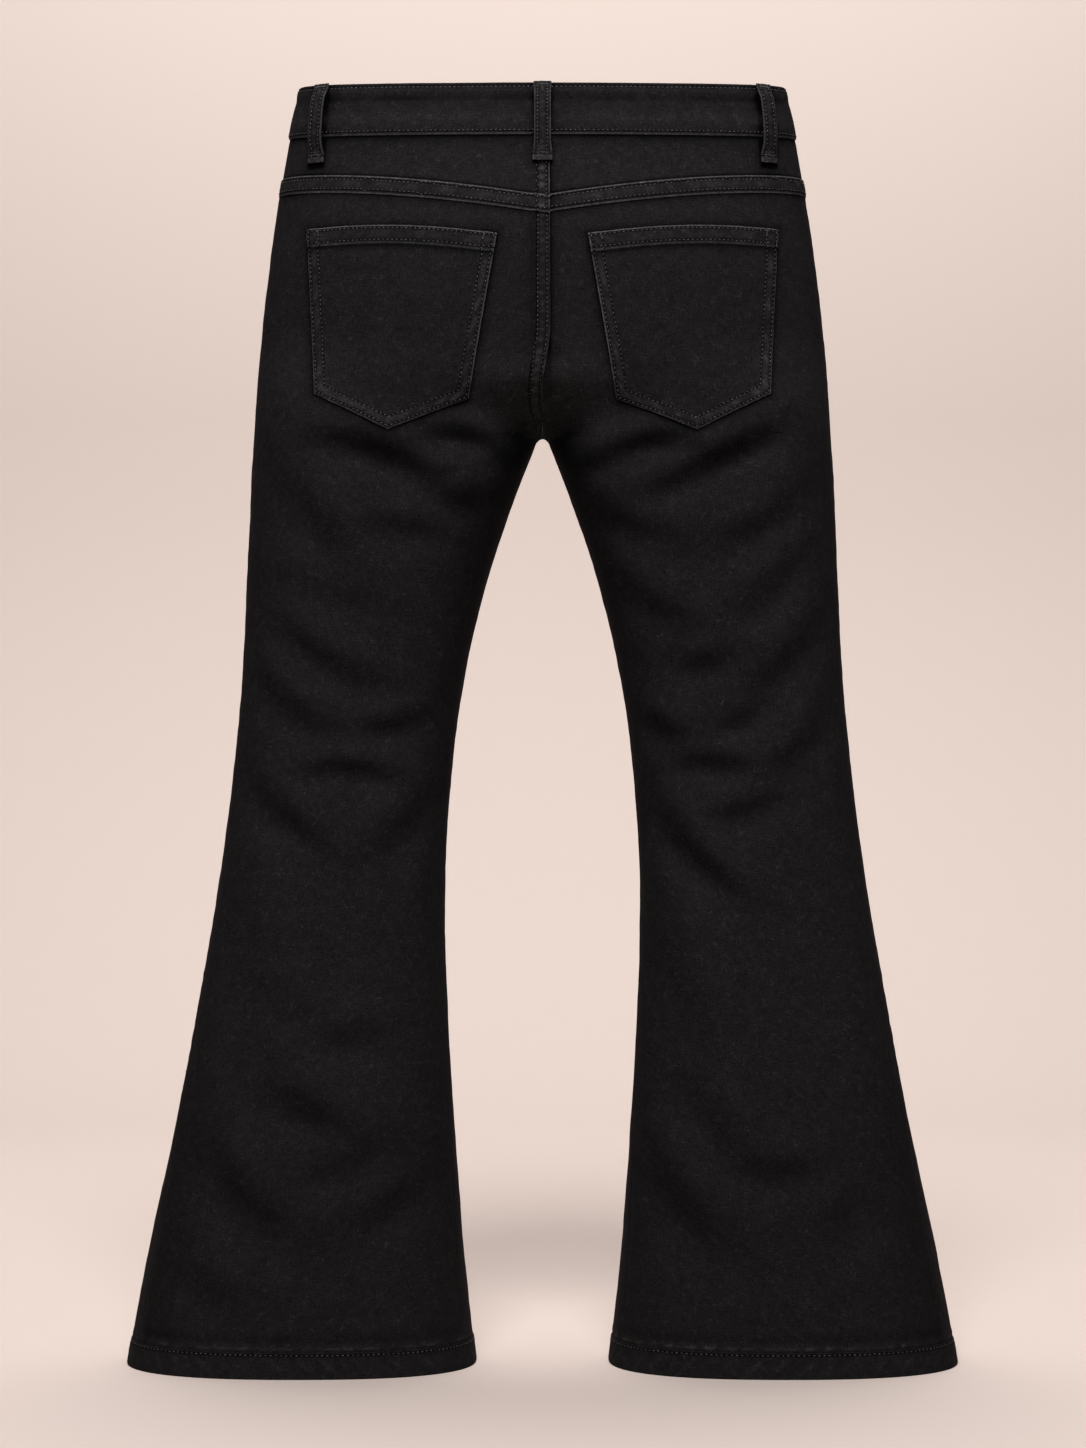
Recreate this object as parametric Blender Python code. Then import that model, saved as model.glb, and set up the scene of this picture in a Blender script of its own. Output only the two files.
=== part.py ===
"""Bootcut jeans in black stretch denim, filled out and standing on their hems.

Metres, +Z up. The seat side faces -Y and the fly side faces +Y, the wearer's left is at -X, and the
origin is on the floor under the middle of the garment's box. Every piece that is cut and sewn on is
its own closed solid: a cloth wall that follows one shared form, 0.3 mm from the next piece at a seam.
"""

import math
from collections import namedtuple

import bmesh
import bpy
import numpy as np

MM = 0.001

# ------------------------------------------------------------------ driving dimensions
CLOTH = 1.6 * MM  # the wall of one panel, with its turnings
SEAM_GAP = 0.3 * MM
WAIST_GAP = 0.5 * MM
CROTCH = 719.5 * MM  # height of the crotch point, which is also the inside leg
WAIST_SIDE = 992 * MM  # top edge of the waistband at the side seams
WAIST_DIP_BACK = 5.3 * MM  # how far that edge dips behind, soon after the side seams
WAIST_DIP_FRONT = 24 * MM  # and to the centre front
BAND_HEIGHT = 40.5 * MM
BAND_PROUD = 1.6 * MM  # the waistband stands this far out of the form, and in
YOKE_SIDE = 919.5 * MM  # upper edge of the yoke's felled seam at the side
YOKE_DIP = 21.1 * MM
YOKE_DIP_POWER = 1.9
FELL_WIDTH = 13.5 * MM
FELL_PROUD = 1.2 * MM
FELL_STEP = 0.6 * MM  # height in which the felled seam drops back to the yoke
LAP_PAST_CENTRE = 5.5 * MM  # the left panels lap over the right ones, past the centre back
FLY_PAST_CENTRE = 9 * MM
LAP_RAISE = CLOTH + SEAM_GAP
LAP_BAND = 13 * MM
LAP_SLOPE = 6 * MM
HEM_HEIGHT = 20.5 * MM
HEM_PROUD = 0.8 * MM
HEM_THICK = 3.2 * MM
SEAT_RISE = 72 * MM  # height in which the seat seam reaches its full depth
FRONT_RISE = 80 * MM
LEG_POWER = 2.4  # squareness of the sections: 2 is an ellipse
TORSO_POWER = 2.3
SADDLE_FLATTENS = (-0.3, 0.5)  # shares of the rise in which the hollow between the legs softens
LEGS_MERGE = (0.0, 1.15)  # and in which the two legs become one torso
EDGES_BLEND = 12 * MM  # above and below the crotch, where the folds' ends change over
DEPTH_SHIFT = 10.2 * MM  # puts the middle of the garment's depth on the origin

# Section of the form at each height. outer is from the middle line to the side, inner is half of the
# gap between the legs, back and front are the depths from the plane of the side seams. All in mm.
Section = namedtuple("Section", "height outer inner back front")
SECTIONS = [
    Section(0, 323.5, 52.2, 86, 80),
    Section(80, 308.7, 60.8, 82, 76),
    Section(170, 289.3, 67.7, 77, 72),
    Section(260, 271.6, 73.3, 73, 69),
    Section(360, 254.2, 76.1, 70, 67),
    Section(450, 241.7, 71.9, 70, 68),
    Section(540, 233.1, 59.6, 76, 72),
    Section(610, 229.7, 42.7, 83, 77),
    Section(670, 227.0, 22.8, 90, 81),
    Section(700, 225.6, 11.3, 94, 82),
    Section(720, 224.3, 3.7, 97, 82),
    Section(765, 221.3, 0, 102, 81),
    Section(810, 217.2, 0, 102, 79),
    Section(855, 211.8, 0, 97, 76),
    Section(905, 204.5, 0, 86, 71),
    Section(950, 196.7, 0, 74, 66),
    Section(1000, 186.0, 0, 63, 61),
]

# The largest folds of each leg. A fold is a down-facing slope along a curved line: the cloth bulges
# out above the line and tucks in below it. x is from the middle line, all in mm.
Fold = namedtuple("Fold", "side face x0 z0 x1 z1 x2 z2 width depth")
FOLDS = [
    Fold(-1, "back", 175, 720, 110, 712, 75, 678, 18, 3.2),
    Fold(-1, "back", 90, 716, 52, 728, 18, 695, 17, 3.0),
    Fold(-1, "back", 210, 600, 188, 545, 108, 528, 18, 3.0),
    Fold(-1, "back", 222, 562, 215, 520, 160, 490, 18, 2.6),
    Fold(-1, "back", 184, 462, 146, 474, 105, 455, 16, 3.0),
    Fold(-1, "back", 225, 466, 206, 434, 164, 402, 18, 2.8),
    Fold(-1, "back", 78, 456, 100, 424, 134, 396, 18, 2.8),
    Fold(-1, "back", 210, 234, 188, 202, 124, 180, 25, 3.0),
    Fold(-1, "back", 256, 188, 232, 132, 190, 112, 25, 3.0),
    Fold(1, "back", 180, 730, 156, 710, 78, 676, 18, 3.2),
    Fold(1, "back", 112, 712, 66, 722, 22, 690, 17, 3.0),
    Fold(1, "back", 202, 686, 172, 646, 126, 638, 19, 2.4),
    Fold(1, "back", 214, 590, 186, 538, 140, 515, 18, 2.8),
    Fold(1, "back", 92, 466, 126, 475, 162, 466, 16, 3.0),
    Fold(1, "back", 124, 428, 160, 430, 190, 452, 16, 2.6),
    Fold(1, "back", 82, 450, 104, 406, 154, 366, 18, 3.0),
    Fold(1, "back", 142, 170, 180, 148, 220, 170, 22, 2.4),
    Fold(1, "back", 72, 202, 85, 140, 142, 102, 25, 3.0),
    Fold(-1, "front", 26, 742, 70, 756, 132, 792, 18, 2.6),
    Fold(-1, "front", 40, 690, 96, 694, 158, 722, 19, 2.4),
    Fold(-1, "front", 86, 486, 128, 472, 184, 482, 18, 2.8),
    Fold(-1, "front", 98, 424, 142, 408, 196, 428, 20, 2.4),
    Fold(-1, "front", 118, 190, 160, 168, 230, 196, 24, 2.2),
    Fold(1, "front", 24, 736, 76, 748, 140, 780, 18, 2.6),
    Fold(1, "front", 46, 680, 100, 690, 150, 708, 19, 2.4),
    Fold(1, "front", 92, 476, 138, 466, 190, 490, 18, 2.8),
    Fold(1, "front", 90, 410, 130, 392, 186, 404, 20, 2.4),
    Fold(1, "front", 116, 176, 164, 150, 222, 170, 24, 2.2),
]

# Patch pocket on the seat, x from the middle line and z, in mm: the two top corners, the two lower
# corners and the point. The top edge arches by POCKET_ARCH.
POCKET_TOP_INNER = (34.5, 868.5)
POCKET_TOP_OUTER = (179.5, 873.5)
POCKET_LOW_INNER = (55.5, 744.5)
POCKET_LOW_OUTER = (172.5, 748.5)
POCKET_POINT = (116.5, 720.5)
POCKET_ARCH = 4.5
POCKET_HEM = 15 * MM
POCKET_HEM_PROUD = 0.9 * MM
POCKET_HEM_STEP = 0.6 * MM
POCKET_LIFT = 1.4 * MM
POCKET_COLUMNS = 8
POCKET_ROWS = 8

# Curved front pocket mouth, measured from the side seam and from the waist seam.
SCOOP_WIDTH = 96 * MM
SCOOP_DROP = 74 * MM
FACING_LAP = 14 * MM  # how far the pocket's facing runs on behind the front

LAP_LIFTS = (CROTCH + 45 * MM, CROTCH + 72 * MM)  # the lap lifts off the other panel, then crosses it
BACK_LAP_GROWS = (CROTCH + 70 * MM, CROTCH + 105 * MM)
FRONT_LAP_GROWS = (CROTCH + 80 * MM, CROTCH + 112 * MM)
FLY_TOP = 926 * MM
FLY_FOOT = 778 * MM
SHIELD_INNER = 24 * MM
SHIELD_OUTER = 16 * MM
ZIP_WIDTH = 24 * MM
ZIP_THICK = 1.0 * MM
ZIP_BEHIND = 2.5 * MM
ZIP_ABOVE_FOOT = 8 * MM
STRIP_BELOW_WAIST = 1.5 * MM
SHIELD_BEHIND = 4.1 * MM

LOOP_WIDTH = 13.5 * MM
LOOP_THICK = 1.8 * MM
LOOP_GAP = 5.7 * MM  # the way for a belt
LOOP_ABOVE = 0.8 * MM
LOOP_BELOW = 20.5 * MM
LOOP_FOLD = 6.5 * MM
LOOP_TACK_GAP = 0.7 * MM
LOOP_SEWN_TOP = 3.5 * MM  # length that lies on the waistband at the top
LOOP_TURN = 4 * MM  # height in which it then swings out
LOOP_SWINGS_IN = 6 * MM  # below the waist seam's line
LOOP_FOLD_STEP = 0.8 * MM
LOOP_FOLD_RISE = 1.5 * MM
LOOP_FOLD_LAYERS = 1.7  # thickness of its turned-under end, in strips
LOOP_OUTER_LEAD = 1.2 * MM  # the outer face turns a little earlier or later than the inner one
LOOP_SIDE_X = 168.5 * MM
LOOP_SIDE_LEAN = 4.5 * MM  # how much further out a side loop is at its foot
LOOP_FRONT_X = 92 * MM
LOOP_TRIALS = 400  # places tried to find a loop by its x

BUTTON_RADIUS = 8.5 * MM
BUTTON_THICK = 2.6 * MM
BUTTON_BEVEL = 0.7 * MM
BUTTON_SEAT_GAP = 0.6 * MM
UNDERLAP = 30 * MM  # the waistband's right end runs this far under its left end
OVERLAP = 13 * MM  # and its left end this far past the centre front
UNDERLAP_GAP = 0.6 * MM
UNDERLAP_SINKS = (0.93, 0.985)  # shares round the waist in which the right end goes under

RISE_TURNS = [16, 32, 47, 61, 75, 90]  # degrees of the crotch curve at which a panel has a row
ROWS_ABOVE_RISE = 4
BACK_COLUMNS = 13
FRONT_COLUMNS = 11
OUTLINE_STEPS = 56  # points along one face of a section before it is cut to columns
LEG_HEIGHTS = [20.8, 60, 110, 165, 220, 275, 330, 380, 415, 445, 472, 500, 530, 562, 594, 624, 652]
LEG_HEIGHTS += [678, 698, 710, 716.5, 719.5]  # mm, closer together where the folds and the crotch are
CROTCH_ARCH = 5 * MM  # height in which the gap between the legs closes over
ARCH_REACH = 40 * MM  # distance from the crotch within which that arch shapes the legs
CROTCH_BLEND = 260 * MM  # how softly the top of each leg runs out of the crotch, larger is sharper


def curve_through(column):
    """A smooth curve through one column of the section table, as a function of height in metres."""
    heights = np.array([row.height for row in SECTIONS]) * MM
    values = np.array([getattr(row, column) for row in SECTIONS]) * MM
    slopes = np.gradient(values, heights)

    def at(z):
        z = np.clip(z, heights[0], heights[-1])
        k = np.clip(np.searchsorted(heights, z, side="right") - 1, 0, len(heights) - 2)
        step = heights[k + 1] - heights[k]
        t = (z - heights[k]) / step
        start = (1 + 2 * t) * (1 - t) ** 2 * values[k] + t * (1 - t) ** 2 * step * slopes[k]
        end = t * t * (3 - 2 * t) * values[k + 1] + t * t * (t - 1) * step * slopes[k + 1]
        return start + end

    return at


outer_at = curve_through("outer")
gap_at = curve_through("inner")
full_depth = {"back": curve_through("back"), "front": curve_through("front")}
rise_of = {"back": SEAT_RISE, "front": FRONT_RISE}
face_sign = {"back": -1, "front": 1}


def smooth(low, high, value):
    """0 below low, 1 above high, and a soft step between them."""
    t = np.clip((value - low) / (high - low), 0, 1)
    return t * t * (3 - 2 * t)


def inner_at(z):
    """Half of the gap between the legs, closing over in a small arch at the crotch."""
    below = np.clip((CROTCH - z) / CROTCH_ARCH, 0, 1)
    return np.where(z < CROTCH, gap_at(z) * np.sqrt(1 - (1 - below) ** 2), 0)


def oval(q, power):
    """Height of an oval of half-width 1 and height 1 at q."""
    return (1 - np.clip(np.abs(q), 0, 1) ** power) ** (1 / power)


def depth_at(face, x, z):
    """Depth of the smooth form at x from the middle line, from the plane of the side seams."""
    outer, inner, gap, full = outer_at(z), inner_at(z), gap_at(z), full_depth[face](z)
    rise = (z - CROTCH) / rise_of[face]
    start = inner + (gap - inner) * smooth(0, ARCH_REACH, x - inner)
    clear = np.maximum(x - start, 0) / CROTCH_BLEND
    filled = np.clip((rise + np.hypot(rise, clear)) / 2, 0, 1)
    centre = full * np.sqrt(1 - (1 - filled) ** 2)
    q = (2 * x - outer - gap) / (outer - gap)
    flatten = smooth(*SADDLE_FLATTENS, rise)
    saddle = (1 - flatten) * oval(q, LEG_POWER) + flatten * 0.5 * (1 + np.cos(np.pi * np.clip(q, -1, 1)))
    two_lobes = np.where(q > 0, full * oval(q, LEG_POWER), centre + (full - centre) * saddle)
    one_lobe = full * oval(x / outer, TORSO_POWER)
    merge = smooth(*LEGS_MERGE, rise)
    return (1 - merge) * two_lobes + merge * one_lobe


def fold_at(side, face, x, z):
    """How far the folds of one face push the cloth out, in metres."""
    total = np.zeros(np.shape(x))
    along = np.linspace(0, 1, 25)
    for fold in FOLDS:
        if fold.side != side or fold.face != face:
            continue
        line_x = ((1 - along) ** 2 * fold.x0 + 2 * along * (1 - along) * fold.x1 + along**2 * fold.x2) * MM
        line_z = ((1 - along) ** 2 * fold.z0 + 2 * along * (1 - along) * fold.z1 + along**2 * fold.z2) * MM
        run_x, run_z = np.gradient(line_x), np.gradient(line_z)
        run = np.hypot(run_x, run_z) * np.sign(run_x)
        dx = x[..., None] - line_x
        dz = z[..., None] - line_z
        nearest = np.hypot(dx, dz).argmin(-1)[..., None]
        above = np.take_along_axis(dz * run_x / run - dx * run_z / run, nearest, -1)[..., 0]
        distance = np.take_along_axis(np.hypot(dx, dz), nearest, -1)[..., 0]
        fade = np.sin(np.pi * (0.1 + 0.8 * along[nearest[..., 0]]))
        reach = fold.width * MM
        total += fold.depth * MM * 2.33 * above / reach * np.exp(-((distance / reach) ** 2)) * fade
    outer, inner = outer_at(z), inner_at(z)
    q = np.clip(np.abs(2 * x - outer - inner) / (outer - inner), 0, 1)
    leg_edges = 1 - q**6
    torso_edges = (1 - np.clip(x / outer, 0, 1) ** 6) * smooth(0, 30 * MM, x)
    above_legs = smooth(CROTCH - EDGES_BLEND, CROTCH + EDGES_BLEND, z)
    return total * ((1 - above_legs) * leg_edges + above_legs * torso_edges)


def section(z):
    """Half sections at the heights z: distance along them, x and y, a row for each height.

    The distance is 0 at the side, positive along the back and negative along the front. Each half
    runs on a little past its ends: round the leg below the crotch, over the middle line above it.
    """
    turn = np.linspace(0, np.pi, OUTLINE_STEPS)
    outer, inner = outer_at(z)[:, None], inner_at(z)[:, None]
    x = inner + (outer - inner) * (1 + np.cos(turn)) / 2
    level = np.broadcast_to(z[:, None], x.shape)
    back = -depth_at("back", x, level)
    front = depth_at("front", x, level)
    ahead = slice(1, OUTLINE_STEPS // 2)
    on_leg = (z < CROTCH)[:, None]
    past_x = np.where(on_leg, x[:, ::-1][:, ahead], -x[:, ::-1][:, ahead])
    past_back = np.where(on_leg, front[:, ::-1][:, ahead], back[:, ::-1][:, ahead])
    past_front = np.where(on_leg, back[:, ::-1][:, ahead], front[:, ::-1][:, ahead])
    xs = np.hstack([past_x[:, ::-1], x[:, ::-1], x[:, 1:], past_x])
    ys = np.hstack([past_front[:, ::-1], front[:, ::-1], back[:, 1:], past_back])
    along = np.hstack([np.zeros((len(z), 1)), np.cumsum(np.hypot(np.diff(xs), np.diff(ys)), axis=1)])
    side = past_x.shape[1] + OUTLINE_STEPS - 1
    along -= along[:, side : side + 1]
    return along, xs, ys, along[:, side + OUTLINE_STEPS - 1], -along[:, side - OUTLINE_STEPS + 1]


def lengths_at(z):
    """Length of the back half and of the front half of the section at each height."""
    shape = np.shape(z)
    _, _, _, back, front = section(np.ravel(z))
    return back.reshape(shape), front.reshape(shape)


def on_form(side, z, s):
    """Points of the folded form at height z and distance s along the half section, mirrored to a side."""
    shape = np.shape(z)
    z, s = np.ravel(z), np.ravel(s)
    along, xs, ys, _, _ = section(z)
    k = np.clip((along <= s[:, None]).sum(1) - 1, 0, along.shape[1] - 2)
    rows = np.arange(len(z))
    t = (s - along[rows, k]) / (along[rows, k + 1] - along[rows, k])
    x = xs[rows, k] + t * (xs[rows, k + 1] - xs[rows, k])
    y = ys[rows, k] + t * (ys[rows, k + 1] - ys[rows, k])
    here = np.where(x < 0, -side, side)
    for one_side in (-1, 1):
        for face, sign in face_sign.items():
            mine = (here == one_side) & (np.sign(y) == sign)
            if mine.any():
                y[mine] += sign * fold_at(one_side, face, np.abs(x[mine]), z[mine])
    return np.stack([side * x, y, z], axis=-1).reshape(*shape, 3)


def normals_on_form(side, z, s):
    """Outward unit normals of the form, from small steps along and up it."""
    step = 1.5 * MM
    around = on_form(side, z, s + step) - on_form(side, z, s - step)
    above = np.where(z < CROTCH, np.minimum(z + step, CROTCH - 1e-6), z + step)
    below = np.where(z < CROTCH, z - step, np.maximum(z - step, CROTCH))
    up = on_form(side, above, s) - on_form(side, below, s)
    normal = np.cross(up, around) * side
    return normal / np.linalg.norm(normal, axis=-1, keepdims=True)


def columns(count):
    """Shares from 0 to 1 across a panel, closer together at its two curved edges."""
    even = np.linspace(0, 1, count + 1)
    return 0.5 * even + 0.25 * (1 - np.cos(np.pi * even))


def linked(name, mesh, material):
    obj = bpy.data.objects.new(name, mesh)
    obj.data.materials.append(material)
    bpy.context.scene.collection.objects.link(obj)
    obj.parent = garment
    return obj


def solid_from_grids(name, outside, inside, material, closed=False):
    """One closed cloth wall between two grids of points. A closed grid joins up across its columns."""
    rows, count = outside.shape[:2]
    mesh = bpy.data.meshes.new(name)
    bm = bmesh.new()
    faces = []
    layers = [[[bm.verts.new(p) for p in row] for row in grid] for grid in (outside, inside)]
    across = count if closed else count - 1
    for layer in layers:
        for i in range(rows - 1):
            for j in range(across):
                k = (j + 1) % count
                faces.append((layer[i][j], layer[i][k], layer[i + 1][k], layer[i + 1][j]))
    out, back = layers
    for i in (0, rows - 1):
        for j in range(across):
            k = (j + 1) % count
            faces.append((out[i][j], out[i][k], back[i][k], back[i][j]))
    if not closed:
        for j in (0, count - 1):
            for i in range(rows - 1):
                faces.append((out[i][j], out[i + 1][j], back[i + 1][j], back[i][j]))
    for face in faces:
        bm.faces.new(face)
    bmesh.ops.recalc_face_normals(bm, faces=bm.faces)
    bmesh.ops.triangulate(bm, faces=bm.faces)
    bm.to_mesh(mesh)
    bm.free()
    mesh.shade_smooth()
    mesh.set_sharp_from_angle(angle=math.radians(35))
    return linked(name, mesh, material)


def wall(name, side, z, s, material, raised=0.0, sunk=CLOTH, closed=False):
    """A cloth piece over a grid of heights and distances: raised stands out of the form, sunk goes in."""
    points, normals = on_form(side, z, s), normals_on_form(side, z, s)
    raised = np.broadcast_to(raised, z.shape)[..., None]
    sunk = np.broadcast_to(sunk, z.shape)[..., None]
    return solid_from_grids(name, points + normals * raised, points - normals * sunk, material, closed)


def cloth_material(name, colour, roughness, metallic=0.0):
    material = bpy.data.materials.new(name)
    material.use_nodes = True
    shader = material.node_tree.nodes["Principled BSDF"]
    shader.inputs["Base Color"].default_value = (*colour, 1)
    shader.inputs["Roughness"].default_value = roughness
    shader.inputs["Metallic"].default_value = metallic
    return material


# ------------------------------------------------------------------ lines that the pieces are cut to
def waist_top(face, share):
    """Height of the waistband's top edge."""
    if face == "back":
        return WAIST_SIDE - WAIST_DIP_BACK * (1 - (1 - np.clip(share, 0, 1)) ** 3)
    return WAIST_SIDE - WAIST_DIP_FRONT * smooth(0, 1, share)


def yoke_line(share):
    """Height of the upper edge of the yoke's felled seam, dipping to the centre back."""
    return YOKE_SIDE - YOKE_DIP * share**YOKE_DIP_POWER


def seam_shift(z, at_hem):
    """The side and inside leg seams turn towards the back below the knee, to at_hem at the hem."""
    return at_hem * (1 - smooth(40 * MM, 400 * MM, z))


OUTSEAM_SHIFT = 31 * MM
INSEAM_SHIFT = 33 * MM


def leg_rows():
    return np.array(LEG_HEIGHTS) * MM


def rise_shares(face, top):
    """Shares of the way from the crotch to a top line: even steps round the crotch curve, then up."""
    rise = rise_of[face]
    curve = rise * (1 - np.cos(np.radians(RISE_TURNS)))
    rest = np.linspace(CROTCH + rise, top, ROWS_ABOVE_RISE + 1)[1:]
    return (np.concatenate([CROTCH + curve, rest]) - CROTCH) / (top - CROTCH)


def panel_columns(count, face, lap, side):
    """Shares across a panel at the middle line: the left one laps past it by lap, in a flat band."""
    shares = columns(count)
    length = lengths_at(np.array([YOKE_SIDE]))[0 if face == "back" else 1][0]
    if side < 0:
        flat = 1 - (LAP_BAND - lap) / length
        shares[-3:] = [min(shares[-3], flat - LAP_SLOPE / length), flat, 1 + lap / length]
    else:
        shares[-2] = 1 - lap / length
    return shares


def mirrored(share):
    """The share on the other side of the middle line that a share past 1 stands for."""
    return 1 - np.abs(1 - share)


def back_panel(side, name, material):
    wide = panel_columns(BACK_COLUMNS, "back", LAP_PAST_CENTRE, side)
    even = columns(BACK_COLUMNS) if side < 0 else wide
    top = yoke_line(wide) - FELL_WIDTH - SEAM_GAP
    rise = rise_shares("back", float(top[-1]))[:, None]
    legs = np.repeat(leg_rows()[:, None], len(even), axis=1)
    z = np.vstack([legs, CROTCH + (top - CROTCH) * rise])
    back, _ = lengths_at(z)
    start = seam_shift(z, OUTSEAM_SHIFT) + SEAM_GAP / 2
    end = back - seam_shift(z, INSEAM_SHIFT) - SEAM_GAP / 2
    s = start + (end - start) * (even + (wide - even) * smooth(*BACK_LAP_GROWS, z[:, -1:]))
    raised = np.zeros(z.shape)
    if side < 0:
        raised[:, -2:] = smooth(*LAP_LIFTS, z[:, -1:]) * LAP_RAISE
    return wall(name, side, z, s, material, raised, CLOTH - raised)


def front_panel(side, name, material):
    wide = panel_columns(FRONT_COLUMNS, "front", FLY_PAST_CENTRE, side)
    even = columns(FRONT_COLUMNS) if side < 0 else wide
    waist = waist_top("front", mirrored(wide)) - BAND_HEIGHT - WAIST_GAP
    _, front = lengths_at(waist)
    across = np.clip(wide * front / SCOOP_WIDTH, 0, 1)
    top = waist - SCOOP_DROP * np.sqrt(1 - across**2)
    rise = rise_shares("front", float(top[-1]))[:, None]
    legs = np.repeat(leg_rows()[:, None], len(even), axis=1)
    z = np.vstack([legs, CROTCH + (top - CROTCH) * rise])
    _, front = lengths_at(z)
    start = -seam_shift(z, OUTSEAM_SHIFT) + SEAM_GAP / 2
    end = front + seam_shift(z, INSEAM_SHIFT) - SEAM_GAP / 2
    s = start + (end - start) * (even + (wide - even) * smooth(*FRONT_LAP_GROWS, z[:, -1:]))
    raised = np.zeros(z.shape)
    if side < 0:
        raised[:, -2:] = smooth(*LAP_LIFTS, z[:, -1:]) * LAP_RAISE
    return wall(name, side, z, -s, material, raised, CLOTH - raised)


def yoke(side, name, material):
    """The yoke from the waist seam down, with the felled seam along its foot standing proud."""
    shares = panel_columns(BACK_COLUMNS, "back", LAP_PAST_CENTRE, side)
    fell_top = yoke_line(mirrored(shares))
    top = waist_top("back", mirrored(shares)) - BAND_HEIGHT - WAIST_GAP
    fell_foot = yoke_line(shares) - FELL_WIDTH
    z = np.vstack([fell_foot, fell_top - FELL_STEP, fell_top, (fell_top + top) / 2, top])
    proud = np.array([FELL_PROUD, FELL_PROUD, 0, 0, 0])[:, None]
    back, _ = lengths_at(z)
    s = SEAM_GAP / 2 + (back - SEAM_GAP) * shares
    raised = proud + np.zeros(z.shape)
    sunk = np.full(z.shape, CLOTH)
    if side < 0:
        raised[:, -2:] += LAP_RAISE
        sunk[:, -2:] = CLOTH - raised[:, -2:]
    return wall(name, side, z, s, material, raised, sunk)


def ring_distances(past_start, past_end):
    """Signed shares round the waist: 0 at the centre back, 1 at the centre front by the wearer's right."""
    half = np.concatenate([0.5 * columns(BACK_COLUMNS), 0.5 + 0.5 * columns(FRONT_COLUMNS)[1:]])
    return np.concatenate([[-1 - past_start], -half[::-1], half[1:], 1 + past_end])


def ring_points(t, heights):
    """Points and normals round the waist for shares t, at a height function of face and share."""
    points, normals, levels = [], [], []
    for value in t:
        side = 1.0 if value >= 0 else -1.0
        face = "back" if abs(value) <= 0.5 else "front"
        share = min(1.0, 1 - 2 * abs(value) if face == "back" else 2 * abs(value) - 1)
        z = np.array([heights(face, share)])
        back, front = lengths_at(z)
        if face == "back":
            s = back * share
        else:
            s = -front * share - max(0.0, abs(value) - 1)
        points.append(on_form(side, z, s)[0])
        normals.append(normals_on_form(side, z, s)[0])
    return np.array(points), np.array(normals)


def waistband(material):
    """One strip round the waist. Its left end laps over its right end at the centre front."""
    under = UNDERLAP * np.array([0.25, 0.6, 1.0])
    t = ring_distances(OVERLAP, under)
    low = lambda face, share: waist_top(face, share) - BAND_HEIGHT
    edges = [ring_points(t, low), ring_points(t, waist_top)]
    sink = (2 * BAND_PROUD + UNDERLAP_GAP) * smooth(*UNDERLAP_SINKS, t)[:, None]
    outside = np.array([p + n * (BAND_PROUD - sink) for p, n in edges])
    inside = np.array([p - n * (BAND_PROUD + sink) for p, n in edges])
    middle = lambda grid: np.array([grid[0], (grid[0] + grid[1]) / 2, grid[1]])
    return solid_from_grids("waistband", middle(outside), middle(inside), material)


def pocket(side, name, material):
    """Patch pocket over the seat: its turned hem along the mouth stands proud of the patch."""
    inner_top, outer_top, inner_low, outer_low, point = (
        np.array(p) * MM
        for p in (POCKET_TOP_INNER, POCKET_TOP_OUTER, POCKET_LOW_INNER, POCKET_LOW_OUTER, POCKET_POINT)
    )
    tip_share = (point[0] - inner_low[0]) / (outer_low[0] - inner_low[0])
    across = np.concatenate([
        np.linspace(0, tip_share, POCKET_COLUMNS // 2 + 1)[:-1],
        np.linspace(tip_share, 1, POCKET_COLUMNS // 2 + 1),
    ])
    u = np.repeat(across[None, :], POCKET_ROWS + 2, axis=0)
    top = inner_top + (outer_top - inner_top) * u[..., None]
    top[..., 1] += POCKET_ARCH * MM * np.sin(np.pi * u)
    low = inner_low + (outer_low - inner_low) * u[..., None]
    drop = np.where(u < tip_share, u / tip_share, (1 - u) / (1 - tip_share))
    chord = inner_low[1] + (outer_low[1] - inner_low[1]) * tip_share
    low[..., 1] -= (chord - point[1]) * drop
    hem = POCKET_HEM / (top - low)[..., 1]
    v = hem + (1 - hem) * np.linspace(0, 1, POCKET_ROWS)[[0, 0, *range(POCKET_ROWS)]][:, None]
    v[0] = 0
    v[2] += POCKET_HEM_STEP / (top - low)[2, :, 1]
    flat = top + (low - top) * v[..., None]
    x, z = flat[..., 0], flat[..., 1]
    points, normals = seat_points(side, x, z)
    raised = np.zeros(z.shape)
    raised[:2] = POCKET_HEM_PROUD
    outside = points + normals * (POCKET_LIFT + CLOTH + raised)[..., None]
    return solid_from_grids(name, outside, points + normals * POCKET_LIFT, material)


def seat_points(side, x, z):
    """Points and normals of the folded back of the form, by x from the middle line and height."""
    def place(x, z):
        y = -depth_at("back", x, z) - fold_at(side, "back", x, z)
        return np.stack([side * x, y, z], axis=-1)

    step = 2 * MM
    across = place(x + step, z) - place(x - step, z)
    up = place(x, z + step) - place(x, z - step)
    normal = np.cross(across, up) * side
    return place(x, z), normal / np.linalg.norm(normal, axis=-1, keepdims=True)


def pocket_facing(side, name, material):
    """The cloth that shows in the front pocket's mouth, behind the front."""
    shares = columns(FRONT_COLUMNS)
    _, front = lengths_at(np.array([WAIST_SIDE - BAND_HEIGHT]))
    keep = shares * front[0] < SCOOP_WIDTH + FACING_LAP
    keep[np.argmin(keep)] = True
    shares = shares[keep][None, :]
    waist = waist_top("front", shares) - BAND_HEIGHT - WAIST_GAP
    z = waist - (SCOOP_DROP + FACING_LAP) * np.linspace(1, 0, 5)[:, None]
    _, front = lengths_at(z)
    s = SEAM_GAP / 2 + (front - SEAM_GAP) * shares
    return wall(name, side, z, -s, material, -(CLOTH + SEAM_GAP), 2 * CLOTH + SEAM_GAP)


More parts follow.
